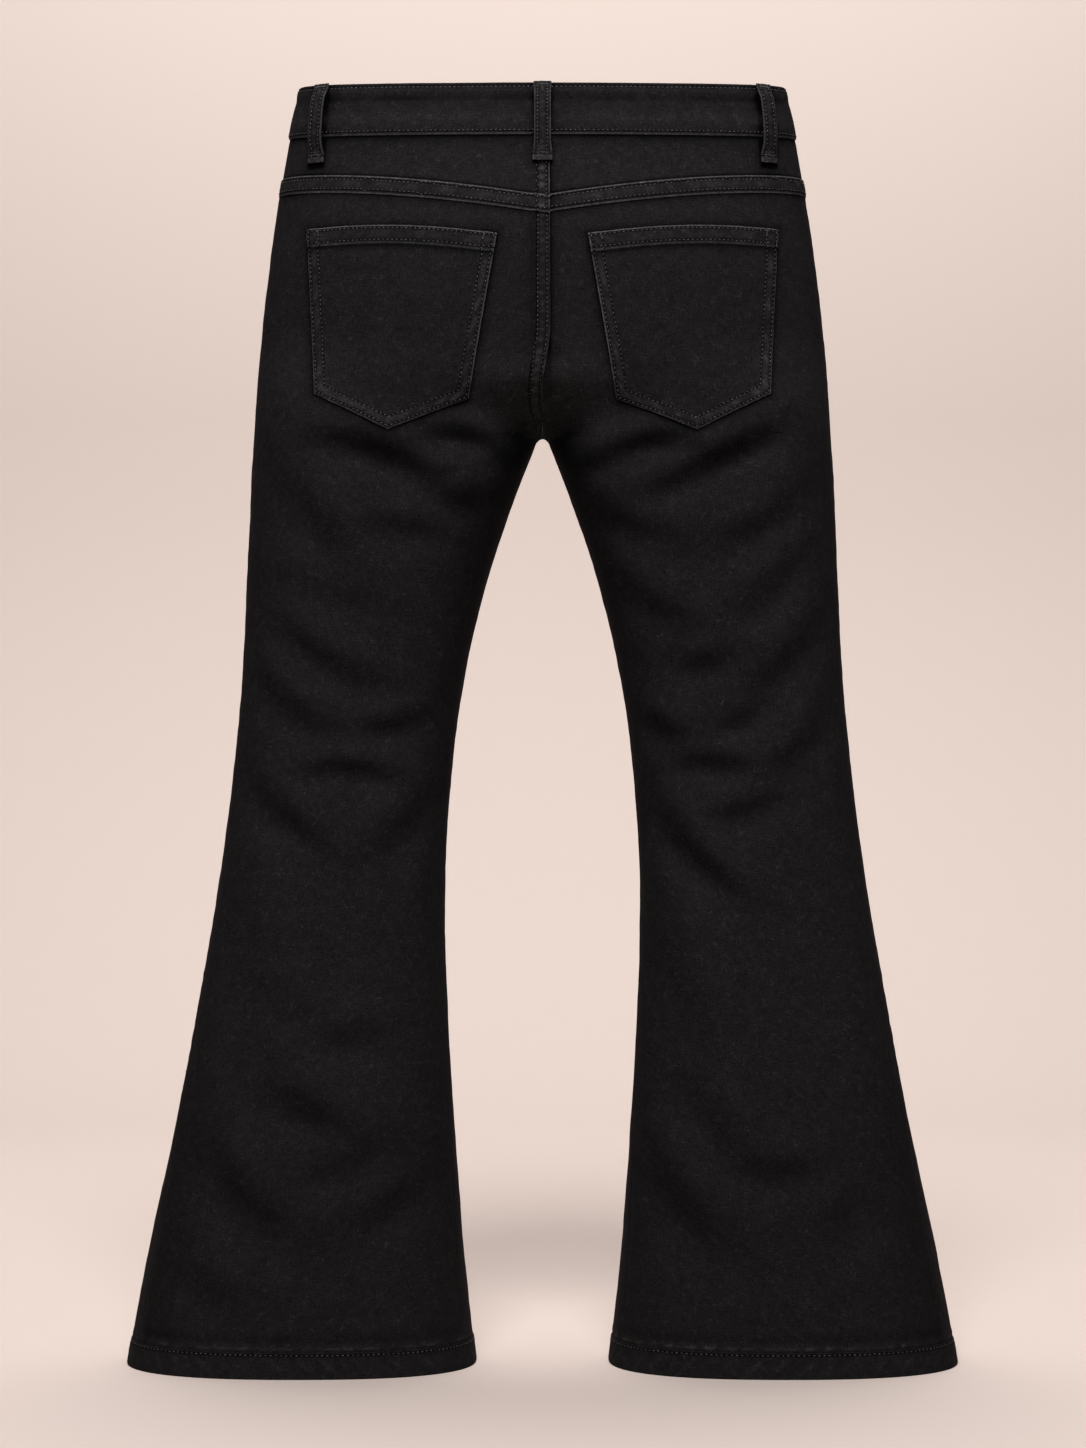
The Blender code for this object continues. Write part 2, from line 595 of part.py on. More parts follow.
def centre_front_strip(name, inner, outer, foot, behind, thick, material):
    """A flat strip behind the fly, from outer on the wearer's right to inner on their left."""
    z = np.repeat(np.linspace(foot, FLY_TOP - STRIP_BELOW_WAIST, 6)[:, None], 4, axis=1)
    _, front = lengths_at(z)
    s = -front + np.linspace(-inner, outer, 4)
    return wall(name, 1, z, s, material, -behind, behind + thick)


def loop_profile(top, seam, ground):
    """Side view of a belt loop, as (distance out of the form, height) round its strip.

    ground is how far the cloth that its lower end is tacked to stands out of the form.
    """
    low = seam - LOOP_BELOW
    tack = ground + LOOP_TACK_GAP
    rest = BAND_PROUD + SEAM_GAP
    out = BAND_PROUD + LOOP_GAP
    end = top + LOOP_ABOVE
    swung = top - LOOP_SEWN_TOP - LOOP_TURN
    fold = low + LOOP_FOLD
    inner = [
        (rest, end),
        (rest, top - LOOP_SEWN_TOP),
        (out, swung),
        (out, seam - LOOP_SWINGS_IN),
        (tack + LOOP_FOLD_STEP, fold + LOOP_FOLD_RISE),
        (tack, fold),
        (tack, low),
    ]
    outer = [
        (tack + LOOP_FOLD_LAYERS * LOOP_THICK, low),
        (tack + LOOP_FOLD_LAYERS * LOOP_THICK, fold),
        (tack + 3 * LOOP_FOLD_STEP + LOOP_THICK, fold + LOOP_FOLD_RISE),
        (out + LOOP_THICK, seam - LOOP_SWINGS_IN + LOOP_OUTER_LEAD),
        (out + LOOP_THICK, swung + LOOP_FOLD_STEP),
        (rest + LOOP_THICK, top - LOOP_SEWN_TOP + LOOP_FOLD_RISE),
        (rest + LOOP_THICK, end),
    ]
    return inner, outer[::-1]


def distance_at_x(face, z, at_x):
    """Distance round from the side seam at which the form is at_x from the middle line, and its share."""
    trial = np.linspace(1, 0, LOOP_TRIALS)
    back, front = lengths_at(np.array([z]))
    reach = back[0] if face == "back" else -front[0]
    xs = on_form(1, np.full(LOOP_TRIALS, z), trial * reach)[:, 0]
    share = np.interp(at_x, xs, trial)
    return share * reach, share


def belt_loop(name, side, face, at_x, lean, material):
    """A belt loop: a strip that leaves the waistband near its top and is tacked down below the seam."""
    mid = WAIST_SIDE - BAND_HEIGHT / 2
    s, share = distance_at_x(face, mid, at_x)
    top = waist_top(face, share)
    seam = top - BAND_HEIGHT
    normal = normals_on_form(side, np.array([mid]), np.array([s]))[0]
    normal[2] = 0
    if at_x == 0:
        normal[0] = 0
    normal /= np.linalg.norm(normal)
    across = np.cross(normal, (0, 0, 1)) * LOOP_WIDTH / 2
    grids = []
    ground = LAP_RAISE if at_x == 0 else 0.0
    for line in loop_profile(top, seam, ground):
        rows = []
        for out, z in line:
            place = at_x + lean * (top - z) / (BAND_HEIGHT + LOOP_BELOW)
            s, share = distance_at_x(face, z, place)
            base = on_form(side, np.array([z]), np.array([s]))[0]
            centre = base + normal * out
            rows.append([centre - across, centre + across])
        grids.append(np.array(rows))
    return solid_from_grids(name, grids[1], grids[0], material)


def hem(side, name, material):
    """The hem of one leg, turned up twice: a ring with its flat foot on the floor."""
    z = np.array([0, HEM_HEIGHT])[:, None]
    shares = np.concatenate([columns(BACK_COLUMNS), 1 + columns(FRONT_COLUMNS)[1:-1]])[None, :]
    z = np.repeat(z, shares.shape[1], axis=1)
    back, front = lengths_at(z)
    s = np.where(shares <= 1, shares * back, -(2 - shares) * front)
    points, normals = on_form(side, z, s), normals_on_form(side, z, s)
    normals[..., 2] = 0
    normals /= np.linalg.norm(normals, axis=-1, keepdims=True)
    inside = points - normals * (HEM_THICK - HEM_PROUD)
    return solid_from_grids(name, points + normals * HEM_PROUD, inside, material, closed=True)


def button(material):
    """The waist button on its shank, seated on the waistband's left end."""
    top = waist_top("front", 1.0)
    z = np.array([top - BAND_HEIGHT / 2])
    _, front = lengths_at(z)
    centre = on_form(1, z, -front)[0]
    normal = normals_on_form(1, z, -front)[0]
    normal[0] = 0
    bm = bmesh.new()
    bmesh.ops.create_cone(
        bm, cap_ends=True, segments=20, radius1=BUTTON_RADIUS, radius2=BUTTON_RADIUS, depth=BUTTON_THICK
    )
    rim = [e for e in bm.edges if e.calc_face_angle(0) > 1 and e.verts[0].co.z > 0 and e.verts[1].co.z > 0]
    bmesh.ops.bevel(bm, geom=rim, offset=BUTTON_BEVEL, segments=2, affect="EDGES", profile=0.5)
    mesh = bpy.data.meshes.new("button")
    bm.to_mesh(mesh)
    bm.free()
    mesh.shade_smooth()
    mesh.set_sharp_from_angle(angle=math.radians(35))
    obj = linked("button", mesh, material)
    tilt = math.atan2(normal[2], normal[1])
    obj.rotation_euler = (tilt - math.pi / 2, 0, 0)
    direction = np.array([0, math.cos(tilt), math.sin(tilt)])
    seat = BAND_PROUD + BUTTON_SEAT_GAP + BUTTON_THICK / 2
    obj.location = centre + direction * seat
    return obj


for old in list(bpy.data.objects):
    bpy.data.objects.remove(old)

garment = bpy.data.objects.new("garment", None)
garment.location = (0, DEPTH_SHIFT, 0)
bpy.context.scene.collection.objects.link(garment)

denim = cloth_material("black_denim", (0.012, 0.011, 0.011), 0.85)
lining = cloth_material("zip_tape", (0.010, 0.010, 0.011), 0.7)
metal = cloth_material("black_metal", (0.05, 0.05, 0.052), 0.35, 1.0)

for side, word in ((-1, "left"), (1, "right")):
    back_panel(side, f"back_{word}", denim)
    front_panel(side, f"front_{word}", denim)
    yoke(side, f"yoke_{word}", denim)
    pocket(side, f"back_pocket_{word}", denim)
    pocket_facing(side, f"front_pocket_{word}", denim)
    hem(side, f"hem_{word}", denim)
    belt_loop(f"belt_loop_back_{word}", side, "back", LOOP_SIDE_X, LOOP_SIDE_LEAN, denim)
    belt_loop(f"belt_loop_front_{word}", side, "front", LOOP_FRONT_X, 0, denim)

waistband(denim)
belt_loop("belt_loop_centre_back", 1, "back", 0, 0, denim)
zip_foot = FLY_FOOT + ZIP_ABOVE_FOOT
centre_front_strip("zip", ZIP_WIDTH / 2, ZIP_WIDTH / 2, zip_foot, ZIP_BEHIND, ZIP_THICK, lining)
centre_front_strip("fly_shield", SHIELD_INNER, SHIELD_OUTER, FLY_FOOT, SHIELD_BEHIND, CLOTH, denim)
button(metal)
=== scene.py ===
"""Looks of the bootcut jeans: the cloth pieces, their seams, stitches and small parts, and the shot."""

import itertools
import math
from collections import namedtuple

import bpy
import numpy as np
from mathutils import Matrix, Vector
from mathutils.bvhtree import BVHTree


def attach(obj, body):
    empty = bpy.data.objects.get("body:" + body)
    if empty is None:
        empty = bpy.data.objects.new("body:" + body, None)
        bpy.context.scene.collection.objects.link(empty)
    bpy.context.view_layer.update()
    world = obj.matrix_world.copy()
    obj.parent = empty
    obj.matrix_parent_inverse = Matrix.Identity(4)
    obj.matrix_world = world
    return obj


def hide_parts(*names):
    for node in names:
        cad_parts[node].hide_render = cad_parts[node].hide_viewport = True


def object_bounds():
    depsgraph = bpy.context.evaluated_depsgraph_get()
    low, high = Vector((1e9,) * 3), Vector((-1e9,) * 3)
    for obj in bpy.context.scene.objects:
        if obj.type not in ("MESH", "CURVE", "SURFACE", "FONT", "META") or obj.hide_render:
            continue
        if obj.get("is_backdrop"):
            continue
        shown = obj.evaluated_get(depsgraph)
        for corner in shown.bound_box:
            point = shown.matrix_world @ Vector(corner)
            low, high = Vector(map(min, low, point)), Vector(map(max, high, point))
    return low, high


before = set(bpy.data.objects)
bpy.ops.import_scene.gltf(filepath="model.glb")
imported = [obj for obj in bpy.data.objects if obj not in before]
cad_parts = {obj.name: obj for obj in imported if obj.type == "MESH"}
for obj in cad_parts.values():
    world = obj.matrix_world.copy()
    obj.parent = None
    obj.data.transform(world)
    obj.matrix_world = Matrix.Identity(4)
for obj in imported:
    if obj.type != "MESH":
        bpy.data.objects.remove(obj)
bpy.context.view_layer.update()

MM = 0.001

# ------------------------------------------------------------------ back legs
# Two back panels of stretch denim, cut from the yoke to the hem. They meet in the seat seam, where the
# wearer's left panel laps over the right one, and fold under at the side and inside leg seams.
CLOTH = 1.2 * MM
SEAM_GAP = 0.25 * MM
CROTCH = 719.5 * MM
WAIST_SIDE = 992 * MM
BAND_HEIGHT = 40.5 * MM
FELL_WIDTH = 13.5 * MM
LAP_PAST_CENTRE = 5.5 * MM
FLY_PAST_CENTRE = 9 * MM
LAP_BAND = 13 * MM
HEM_HEIGHT = 20.5 * MM
LEG_POWER, TORSO_POWER = 2.4, 2.3
DEPTH_SHIFT = 10.2 * MM
CROTCH_ARCH = 5 * MM
CROTCH_BLEND = 260 * MM
RISE = {"back": 72 * MM, "front": 80 * MM}
SIGN = {"back": -1, "front": 1}

# The form at each height, in mm: middle line to side, half of the gap between the legs, and the depths.
Section = namedtuple("Section", "height outer inner back front")
SECTIONS = [
    Section(0, 323.5, 52.2, 86, 80),
    Section(80, 308.7, 60.8, 82, 76),
    Section(170, 289.3, 67.7, 77, 72),
    Section(260, 271.6, 73.3, 73, 69),
    Section(360, 254.2, 76.1, 70, 67),
    Section(450, 241.7, 71.9, 70, 68),
    Section(540, 233.1, 59.6, 76, 72),
    Section(610, 229.7, 42.7, 83, 77),
    Section(670, 227.0, 22.8, 90, 81),
    Section(700, 225.6, 11.3, 94, 82),
    Section(720, 224.3, 3.7, 97, 82),
    Section(765, 221.3, 0, 102, 81),
    Section(810, 217.2, 0, 102, 79),
    Section(855, 211.8, 0, 97, 76),
    Section(905, 204.5, 0, 86, 71),
    Section(950, 196.7, 0, 74, 66),
    Section(1000, 186.0, 0, 63, 61),
]

# Folds run from the first point towards the last, bent towards the middle one, x from the middle line.
# Each pushes the cloth out by tuck above its line and in below it, within width of it. All in mm.
Fold = namedtuple("Fold", "x0 z0 x1 z1 x2 z2 width tuck")
FOLDS = {
    ("back", -1): [
        (175, 718, 110, 712, 73, 678, 16, 5.2),
        (90, 716, 52, 728, 18, 695, 13, 4.8),
        (9, 703, 15, 689, 28, 675, 10, 2.2),
        (202, 695, 186, 674, 134, 602, 20, 3.8),
        (81, 674, 64, 661, 26, 677, 15, 2.6),
        (142, 650, 100, 654, 69, 641, 15, 2.4),
        (214, 623, 172, 602, 128, 586, 18, 1.8),
        (211, 600, 188, 544, 107, 527, 17, 3.4),
        (222, 563, 215, 520, 160, 490, 17, 4.5),
        (145, 498, 113, 491, 81, 515, 15, 3.0),
        (184, 461, 147, 474, 105, 455, 14, 3.5),
        (225, 466, 206, 434, 164, 401, 18, 5.2),
        (78, 457, 100, 424, 134, 396, 18, 4.0),
        (240, 425, 228, 330, 208, 265, 28, 4.5),
        (170, 270, 156, 254, 120, 267, 20, 3.2),
        (210, 234, 188, 202, 123, 179, 25, 6.3),
        (186, 162, 150, 152, 119, 181, 20, 4.9),
        (257, 188, 233, 132, 190, 111, 26, 7.2),
        (151, 115, 116, 134, 87, 159, 25, 5.4),
        (271, 91, 258, 68, 230, 56, 24, 3.9),
    ],
    ("back", 1): [
        (180, 730, 156, 710, 77, 675, 15, 5.2),
        (112, 712, 66, 722, 22, 689, 14, 5.0),
        (21, 680, 42, 654, 101, 642, 16, 3.2),
        (202, 686, 173, 646, 126, 637, 18, 3.4),
        (48, 621, 85, 582, 129, 568, 17, 2.8),
        (211, 647, 182, 615, 139, 571, 17, 3.0),
        (98, 555, 122, 536, 157, 557, 17, 3.8),
        (214, 589, 186, 538, 139, 515, 18, 4.0),
        (62, 515, 84, 497, 117, 486, 15, 4.2),
        (168, 515, 152, 500, 129, 495, 13, 3.0),
        (92, 466, 126, 475, 162, 466, 14, 3.4),
        (214, 515, 204, 480, 171, 460, 16, 4.0),
        (124, 428, 160, 430, 191, 452, 15, 3.2),
        (82, 449, 104, 406, 154, 366, 17, 6.8),
        (82, 373, 92, 310, 130, 252, 30, 5.5),
        (107, 244, 121, 199, 153, 173, 25, 5.3),
        (142, 170, 179, 148, 221, 170, 20, 3.9),
        (71, 202, 85, 140, 142, 102, 26, 8.2),
        (205, 111, 228, 124, 246, 150, 26, 3.9),
    ],
    ("front", -1): [
        (26, 742, 70, 756, 132, 792, 15, 3.4),
        (22, 716, 74, 722, 140, 750, 15, 2.8),
        (40, 690, 96, 694, 158, 722, 18, 3.0),
        (188, 640, 140, 600, 96, 590, 17, 2.2),
        (80, 512, 112, 500, 168, 520, 14, 2.8),
        (86, 486, 128, 472, 184, 482, 14, 3.6),
        (98, 424, 142, 408, 196, 428, 17, 3.0),
        (90, 380, 130, 352, 190, 344, 18, 2.2),
        (118, 190, 160, 168, 230, 196, 20, 2.6),
        (240, 120, 200, 92, 140, 84, 20, 2.2),
    ],
    ("front", 1): [
        (24, 736, 76, 748, 140, 780, 15, 3.4),
        (24, 704, 80, 716, 138, 742, 15, 2.6),
        (46, 680, 100, 690, 150, 708, 18, 3.0),
        (196, 622, 150, 584, 104, 580, 17, 2.2),
        (92, 476, 138, 466, 190, 490, 14, 3.6),
        (90, 410, 130, 392, 186, 404, 17, 3.0),
        (202, 372, 160, 350, 112, 352, 18, 2.2),
        (116, 176, 164, 150, 222, 170, 20, 2.6),
        (250, 136, 206, 104, 150, 98, 20, 2.0),
    ],
}


def curve_through(column):
    """A smooth curve through one column of the section table, as a function of height in metres."""
    heights = np.array([row.height for row in SECTIONS]) * MM
    values = np.array([getattr(row, column) for row in SECTIONS]) * MM
    slopes = np.gradient(values, heights)

    def at(z):
        z = np.clip(z, heights[0], heights[-1])
        k = np.clip(np.searchsorted(heights, z, side="right") - 1, 0, len(heights) - 2)
        step = heights[k + 1] - heights[k]
        t = (z - heights[k]) / step
        start = (1 + 2 * t) * (1 - t) ** 2 * values[k] + t * (1 - t) ** 2 * step * slopes[k]
        end = t * t * (3 - 2 * t) * values[k + 1] + t * t * (t - 1) * step * slopes[k + 1]
        return start + end

    return at


outer_at, gap_at = curve_through("outer"), curve_through("inner")
full_depth = {"back": curve_through("back"), "front": curve_through("front")}


def ease(t):
    t = np.clip(t, 0, 1)
    return t * t * (3 - 2 * t)


def smooth(low, high, value):
    """A soft step from 0 at low to 1 at high, both in mm, over value in metres."""
    return ease((value / MM - low) / (high - low))


def bump(value, centre, width):
    """A soft ridge 1 high over value in metres, with its centre and width in mm."""
    return np.exp(-(((value / MM - centre) / width) ** 2))


def ridges(value, *rows):
    """Soft ridges over value, added up. Each row gives the weight, centre and width of one."""
    return sum(weight * bump(value, centre, width) for weight, centre, width in rows)


def inner_at(z):
    below = np.clip((CROTCH - z) / CROTCH_ARCH, 0, 1)
    return np.where(z < CROTCH, gap_at(z) * np.sqrt(1 - (1 - below) ** 2), 0)


def oval(q, power):
    return (1 - np.clip(np.abs(q), 0, 1) ** power) ** (1 / power)


def depth_at(face, x, z):
    """Depth of the smooth form at x from the middle line, from the plane of the side seams."""
    outer, inner, gap, full = outer_at(z), inner_at(z), gap_at(z), full_depth[face](z)
    rise = (z - CROTCH) / RISE[face]
    start = inner + (gap - inner) * smooth(0, 40, x - inner)
    clear = np.maximum(x - start, 0) / CROTCH_BLEND
    filled = np.clip((rise + np.hypot(rise, clear)) / 2, 0, 1)
    centre = full * np.sqrt(1 - (1 - filled) ** 2)
    q = (2 * x - outer - gap) / (outer - gap)
    flatten = ease((rise + 0.3) / 0.8)
    saddle = (1 - flatten) * oval(q, LEG_POWER) + flatten * 0.5 * (1 + np.cos(np.pi * np.clip(q, -1, 1)))
    two_lobes = np.where(q > 0, full * oval(q, LEG_POWER), centre + (full - centre) * saddle)
    merge = ease(rise / 1.15)
    return (1 - merge) * two_lobes + merge * full * oval(x / outer, TORSO_POWER)


def fold_at(side, face, x, z):
    """How far the folds of one face push the cloth out."""
    total = np.zeros(np.shape(x))
    along = np.linspace(0, 1, 25)
    for fold in itertools.starmap(Fold, FOLDS[face, side]):
        line_x = ((1 - along) ** 2 * fold.x0 + 2 * along * (1 - along) * fold.x1 + along**2 * fold.x2) * MM
        line_z = ((1 - along) ** 2 * fold.z0 + 2 * along * (1 - along) * fold.z1 + along**2 * fold.z2) * MM
        run_x, run_z = np.gradient(line_x), np.gradient(line_z)
        run = np.hypot(run_x, run_z) * np.sign(run_x)
        reach = fold.width * MM
        near = (np.abs(z - line_z.mean()) < np.ptp(line_z) / 2 + 3 * reach).nonzero()
        dx = x[near][..., None] - line_x
        dz = z[near][..., None] - line_z
        nearest = np.hypot(dx, dz).argmin(-1)[..., None]
        above = np.take_along_axis(dz * run_x / run - dx * run_z / run, nearest, -1)[..., 0]
        distance = np.take_along_axis(np.hypot(dx, dz), nearest, -1)[..., 0]
        fade = np.sin(np.pi * (0.1 + 0.8 * along[nearest[..., 0]])) * MM
        total[near] += fold.tuck * 2.33 * above / reach * np.exp(-((distance / reach) ** 2)) * fade
    outer, inner = outer_at(z), inner_at(z)
    q = np.clip(np.abs(2 * x - outer - inner) / (outer - inner), 0, 1)
    torso_edges = (1 - np.clip(x / outer, 0, 1) ** 6) * smooth(0, 30, x)
    above_legs = smooth(-12, 12, z - CROTCH)
    return total * ((1 - above_legs) * (1 - q**6) + above_legs * torso_edges)


# How far round a half section the distance s is, as an angle from the side (0) to the middle (pi).
LEVELS = np.arange(-6, 1010, 2) * MM
SHARES = np.linspace(0, 1, 241)
turn_table, length_table = {}, {}
for face in SIGN:
    turns = np.linspace(0, np.pi, 241)[None, :]
    level = LEVELS[:, None] + 0 * turns
    x = inner_at(level) + (outer_at(level) - inner_at(level)) * (1 + np.cos(turns)) / 2
    steps = np.hypot(np.diff(x), np.diff(depth_at(face, x, level)))
    run = np.hstack([np.zeros((len(LEVELS), 1)), np.cumsum(steps, axis=1)])
    length_table[face] = run[:, -1]
    turn_table[face] = np.array([np.interp(SHARES, row / row[-1], turns[0]) for row in run])


def length_at(face, z):
    """Length of one face's half section, from the side to the middle or the inside leg."""
    return np.interp(z, LEVELS, length_table[face])


def turn_at(face, z, share):
    row = np.clip((z - LEVELS[0]) / (2 * MM), 0, len(LEVELS) - 1.001)
    column = np.clip(share, 0, 1) * (len(SHARES) - 1.001)
    i, j = row.astype(int), column.astype(int)
    a, b = row - i, column - j
    table = turn_table[face]
    low = (1 - b) * table[i, j] + b * table[i, j + 1]
    return (1 - a) * low + a * ((1 - b) * table[i + 1, j] + b * table[i + 1, j + 1])


def on_form(side, z, s):
    """Points of the folded form at height z, s round from the side seam: back is positive."""
    z, s = np.broadcast_arrays(np.asarray(z, float), np.asarray(s, float))
    points = np.zeros((*z.shape, 3))
    for face, sign in SIGN.items():
        other = "front" if face == "back" else "back"
        mine = (s >= 0) if face == "back" else (s < 0)
        zm, sm = z[mine], np.abs(s[mine])
        length = length_at(face, zm)
        past = np.maximum(sm - length, 0)
        on_leg = zm < CROTCH
        share = np.where(past > 0, 1 - past / length, sm / length)
        around = (past > 0) & on_leg
        turn = turn_at(face, zm, share)
        turn[around] = turn_at(other, zm[around], 1 - past[around] / length_at(other, zm[around]))
        x = inner_at(zm) + (outer_at(zm) - inner_at(zm)) * (1 + np.cos(turn)) / 2
        across = np.where((past > 0) & ~on_leg, -1, 1)
        y = np.zeros(len(x))
        for real in SIGN:
            for half in (-1, 1):
                here = (across * side == half) & (around == (real != face))
                xs, zs = x[here], zm[here]
                y[here] = SIGN[real] * (depth_at(real, xs, zs) + fold_at(half, real, xs, zs))
        points[mine] = np.stack([side * across * x, y + DEPTH_SHIFT, zm], axis=-1)
    return points


def grid_normals(points, side):
    """Outward unit normals of a grid of points that runs up in rows and round in columns."""
    normal = np.cross(np.gradient(points, axis=0), np.gradient(points, axis=1)) * side
    return normal / np.maximum(np.linalg.norm(normal, axis=-1, keepdims=True), 1e-12)


def over_form(side, z, s, out=4 * MM):
    """Points above the form at height z and distance s, for rows of stitches that drop onto the cloth."""
    step = 2 * MM
    z, s = np.broadcast_arrays(np.asarray(z, float), np.asarray(s, float))
    around = on_form(side, z, s + step) - on_form(side, z, s - step)
    up = on_form(side, z + step, s) - on_form(side, z - step, s)
    normal = np.cross(up, around) * side
    return on_form(side, z, s) + out * normal / np.linalg.norm(normal, axis=-1, keepdims=True)


def spread(total, fine, coarse, ends=18 * MM):
    """Distances from 0 to total, fine apart near both ends and coarse in the middle."""
    edge = np.arange(0, ends, fine)
    middle = np.linspace(ends, total - ends, max(2, round((total - 2 * ends) / coarse)))
    return np.concatenate([edge, middle, (total - edge)[::-1]])


def seeded_noise(u, v, size, seed):
    """Smooth noise between about -1 and 1 over positions u and v, with lumps of size mm."""
    rng = np.random.default_rng(seed)
    total = 0
    for scale, weight in ((1, 0.6), (0.47, 0.3), (0.23, 0.15)):
        for _ in range(5):
            angle, phase = rng.uniform(0, np.pi), rng.uniform(0, 2 * np.pi)
            stretch = rng.uniform(0.7, 1.4) * 2 * np.pi / (size * MM * scale)
            total = total + weight / 2.2 * np.sin((u * np.cos(angle) + v * np.sin(angle)) * stretch + phase)
    return total


def linked(name, mesh):
    obj = bpy.data.objects.new(name, mesh)
    bpy.context.scene.collection.objects.link(obj)
    return obj


def finish_piece(obj, node_name, material=None):
    """Gives the piece its material, hides the CAD part that it stands for and hangs the piece on the root
    body.
    """
    obj.data.materials.append(material or BLACK)
    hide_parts(node_name)
    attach(obj, "root")
    return obj


def cloth_shell(node_name, points, normals, outer, u, v, wear_and_painted_light=0, inner=0, near=1.0, closed=False,
                ending="cloth", material=None):
    """A closed shell: one grid of points moved out along its normals by outer, and again by inner.

    u and v are positions on the flat cloth, kept as the UV map. The wear and painted light values make the
    cloth paler above 0, at rubbed edges and lumps and as painted highlights, and darker below 0, as painted
    shade in seams, grooves and hollows and on faces turned from the light. near is the distance to the edge
    of a piece that lies on this one; the material paints a shadow beside that edge.
    """
    rows, count = points.shape[:2]
    outer = np.broadcast_to(outer, (rows, count))
    inner = np.broadcast_to(inner, (rows, count))
    outside = points + normals * outer[..., None]
    inside = points + normals * inner[..., None]
    size = rows * count
    verts = np.vstack([outside.reshape(-1, 3), inside.reshape(-1, 3)])
    index = np.arange(size).reshape(rows, count)
    if closed:
        index = np.hstack([index, index[:, :1]])
    a, b, c, d = index[:-1, :-1], index[:-1, 1:], index[1:, 1:], index[1:, :-1]
    front = np.stack([a, b, c, d], axis=-1).reshape(-1, 4)
    rims = [(index[0, :-1], index[0, 1:], True), (index[-1, :-1], index[-1, 1:], False)]
    if not closed:
        rims += [(index[:-1, 0], index[1:, 0], False), (index[:-1, -1], index[1:, -1], True)]
    strips = [np.stack([p, p + size, q + size, q] if turned else [p, q, q + size, p + size], axis=-1)
              for p, q, turned in rims]
    faces = np.vstack([front, (front + size)[:, ::-1], *strips])
    i, j = rows // 2, count // 3
    facing = np.cross(points[i, j + 1] - points[i, j], points[i + 1, j] - points[i, j]) @ normals[i, j]
    if facing < 0:
        faces = faces[:, ::-1]
    mesh = bpy.data.meshes.new(f"{node_name}_{ending}")
    mesh.from_pydata(verts.tolist(), [], faces.tolist())
    uv = np.stack([np.broadcast_to(u, (rows, count)), np.broadcast_to(v, (rows, count))], axis=-1)
    uv = np.vstack([uv.reshape(-1, 2)] * 2)
    layer = mesh.uv_layers.new(name="cloth")
    corners = np.zeros(len(mesh.loops), int)
    mesh.loops.foreach_get("vertex_index", corners)
    layer.data.foreach_set("uv", uv[corners].astype(np.float32).ravel())
    wear_and_painted_light = np.clip(wear_and_painted_light, -0.85, 1)
    for key, values, hidden in (("wear_and_painted_light", wear_and_painted_light, 0), ("near", near, 1)):
        values = np.broadcast_to(values, (rows, count)).reshape(-1)
        kept = np.concatenate([values, 0 * values + hidden]).astype(np.float32)
        mesh.attributes.new(key, "FLOAT", "POINT").data.foreach_set("value", kept)
    mesh.shade_smooth()
    mesh.set_sharp_from_angle(angle=math.radians(50))
    mesh.update()
    return finish_piece(linked(mesh.name, mesh), node_name, material)


def feed(made, inputs):
    """Sets a node's inputs to values, or links them to sockets or to the first outputs of nodes."""
    for key, value in inputs.items():
        if isinstance(value, bpy.types.Node):
            value = value.outputs[0]
        if isinstance(value, bpy.types.NodeSocket):
            made.id_data.links.new(value, made.inputs[key])
        else:
            made.inputs[key].default_value = value


def node(tree, kind, inputs=None, **settings):
    """A shader or geometry node with its settings and inputs."""
    made = tree.nodes.new(kind)
    for key, value in settings.items():
        setattr(made, key, value)
    feed(made, inputs or {})
    return made


def node_group(name, kind, inputs, outputs):
    """A node group with its named inputs and outputs, and the node that gives the inputs."""
    group = bpy.data.node_groups.new(name, kind)
    for title, sort, value in inputs:
        made = group.interface.new_socket(name=title, in_out="INPUT", socket_type="NodeSocket" + sort)
        if value is not None:
            made.default_value = value
    for title, sort in outputs:
        group.interface.new_socket(name=title, in_out="OUTPUT", socket_type="NodeSocket" + sort)
    return group, node(group, "NodeGroupInput").outputs


def maths_in(tree):
    """A function that adds a math node to the tree."""
    def maths(operation, first, second=0.0, clamp=False):
        return node(tree, "ShaderNodeMath", {0: first, 1: second}, operation=operation, use_clamp=clamp)
    return maths


def remap(tree, value, first, last, low=0.0, high=1.0, clamp=True):
    levels = {"Value": value, "From Min": first, "From Max": last, "To Min": low, "To Max": high}
    return node(tree, "ShaderNodeMapRange", levels, clamp=clamp)


def new_material(name, roughness, specular):
    material = bpy.data.materials.new(name)
    material.use_nodes = True
    shader = material.node_tree.nodes["Principled BSDF"]
    feed(shader, {"Roughness": roughness, "Specular IOR Level": specular})
    return material, material.node_tree, shader


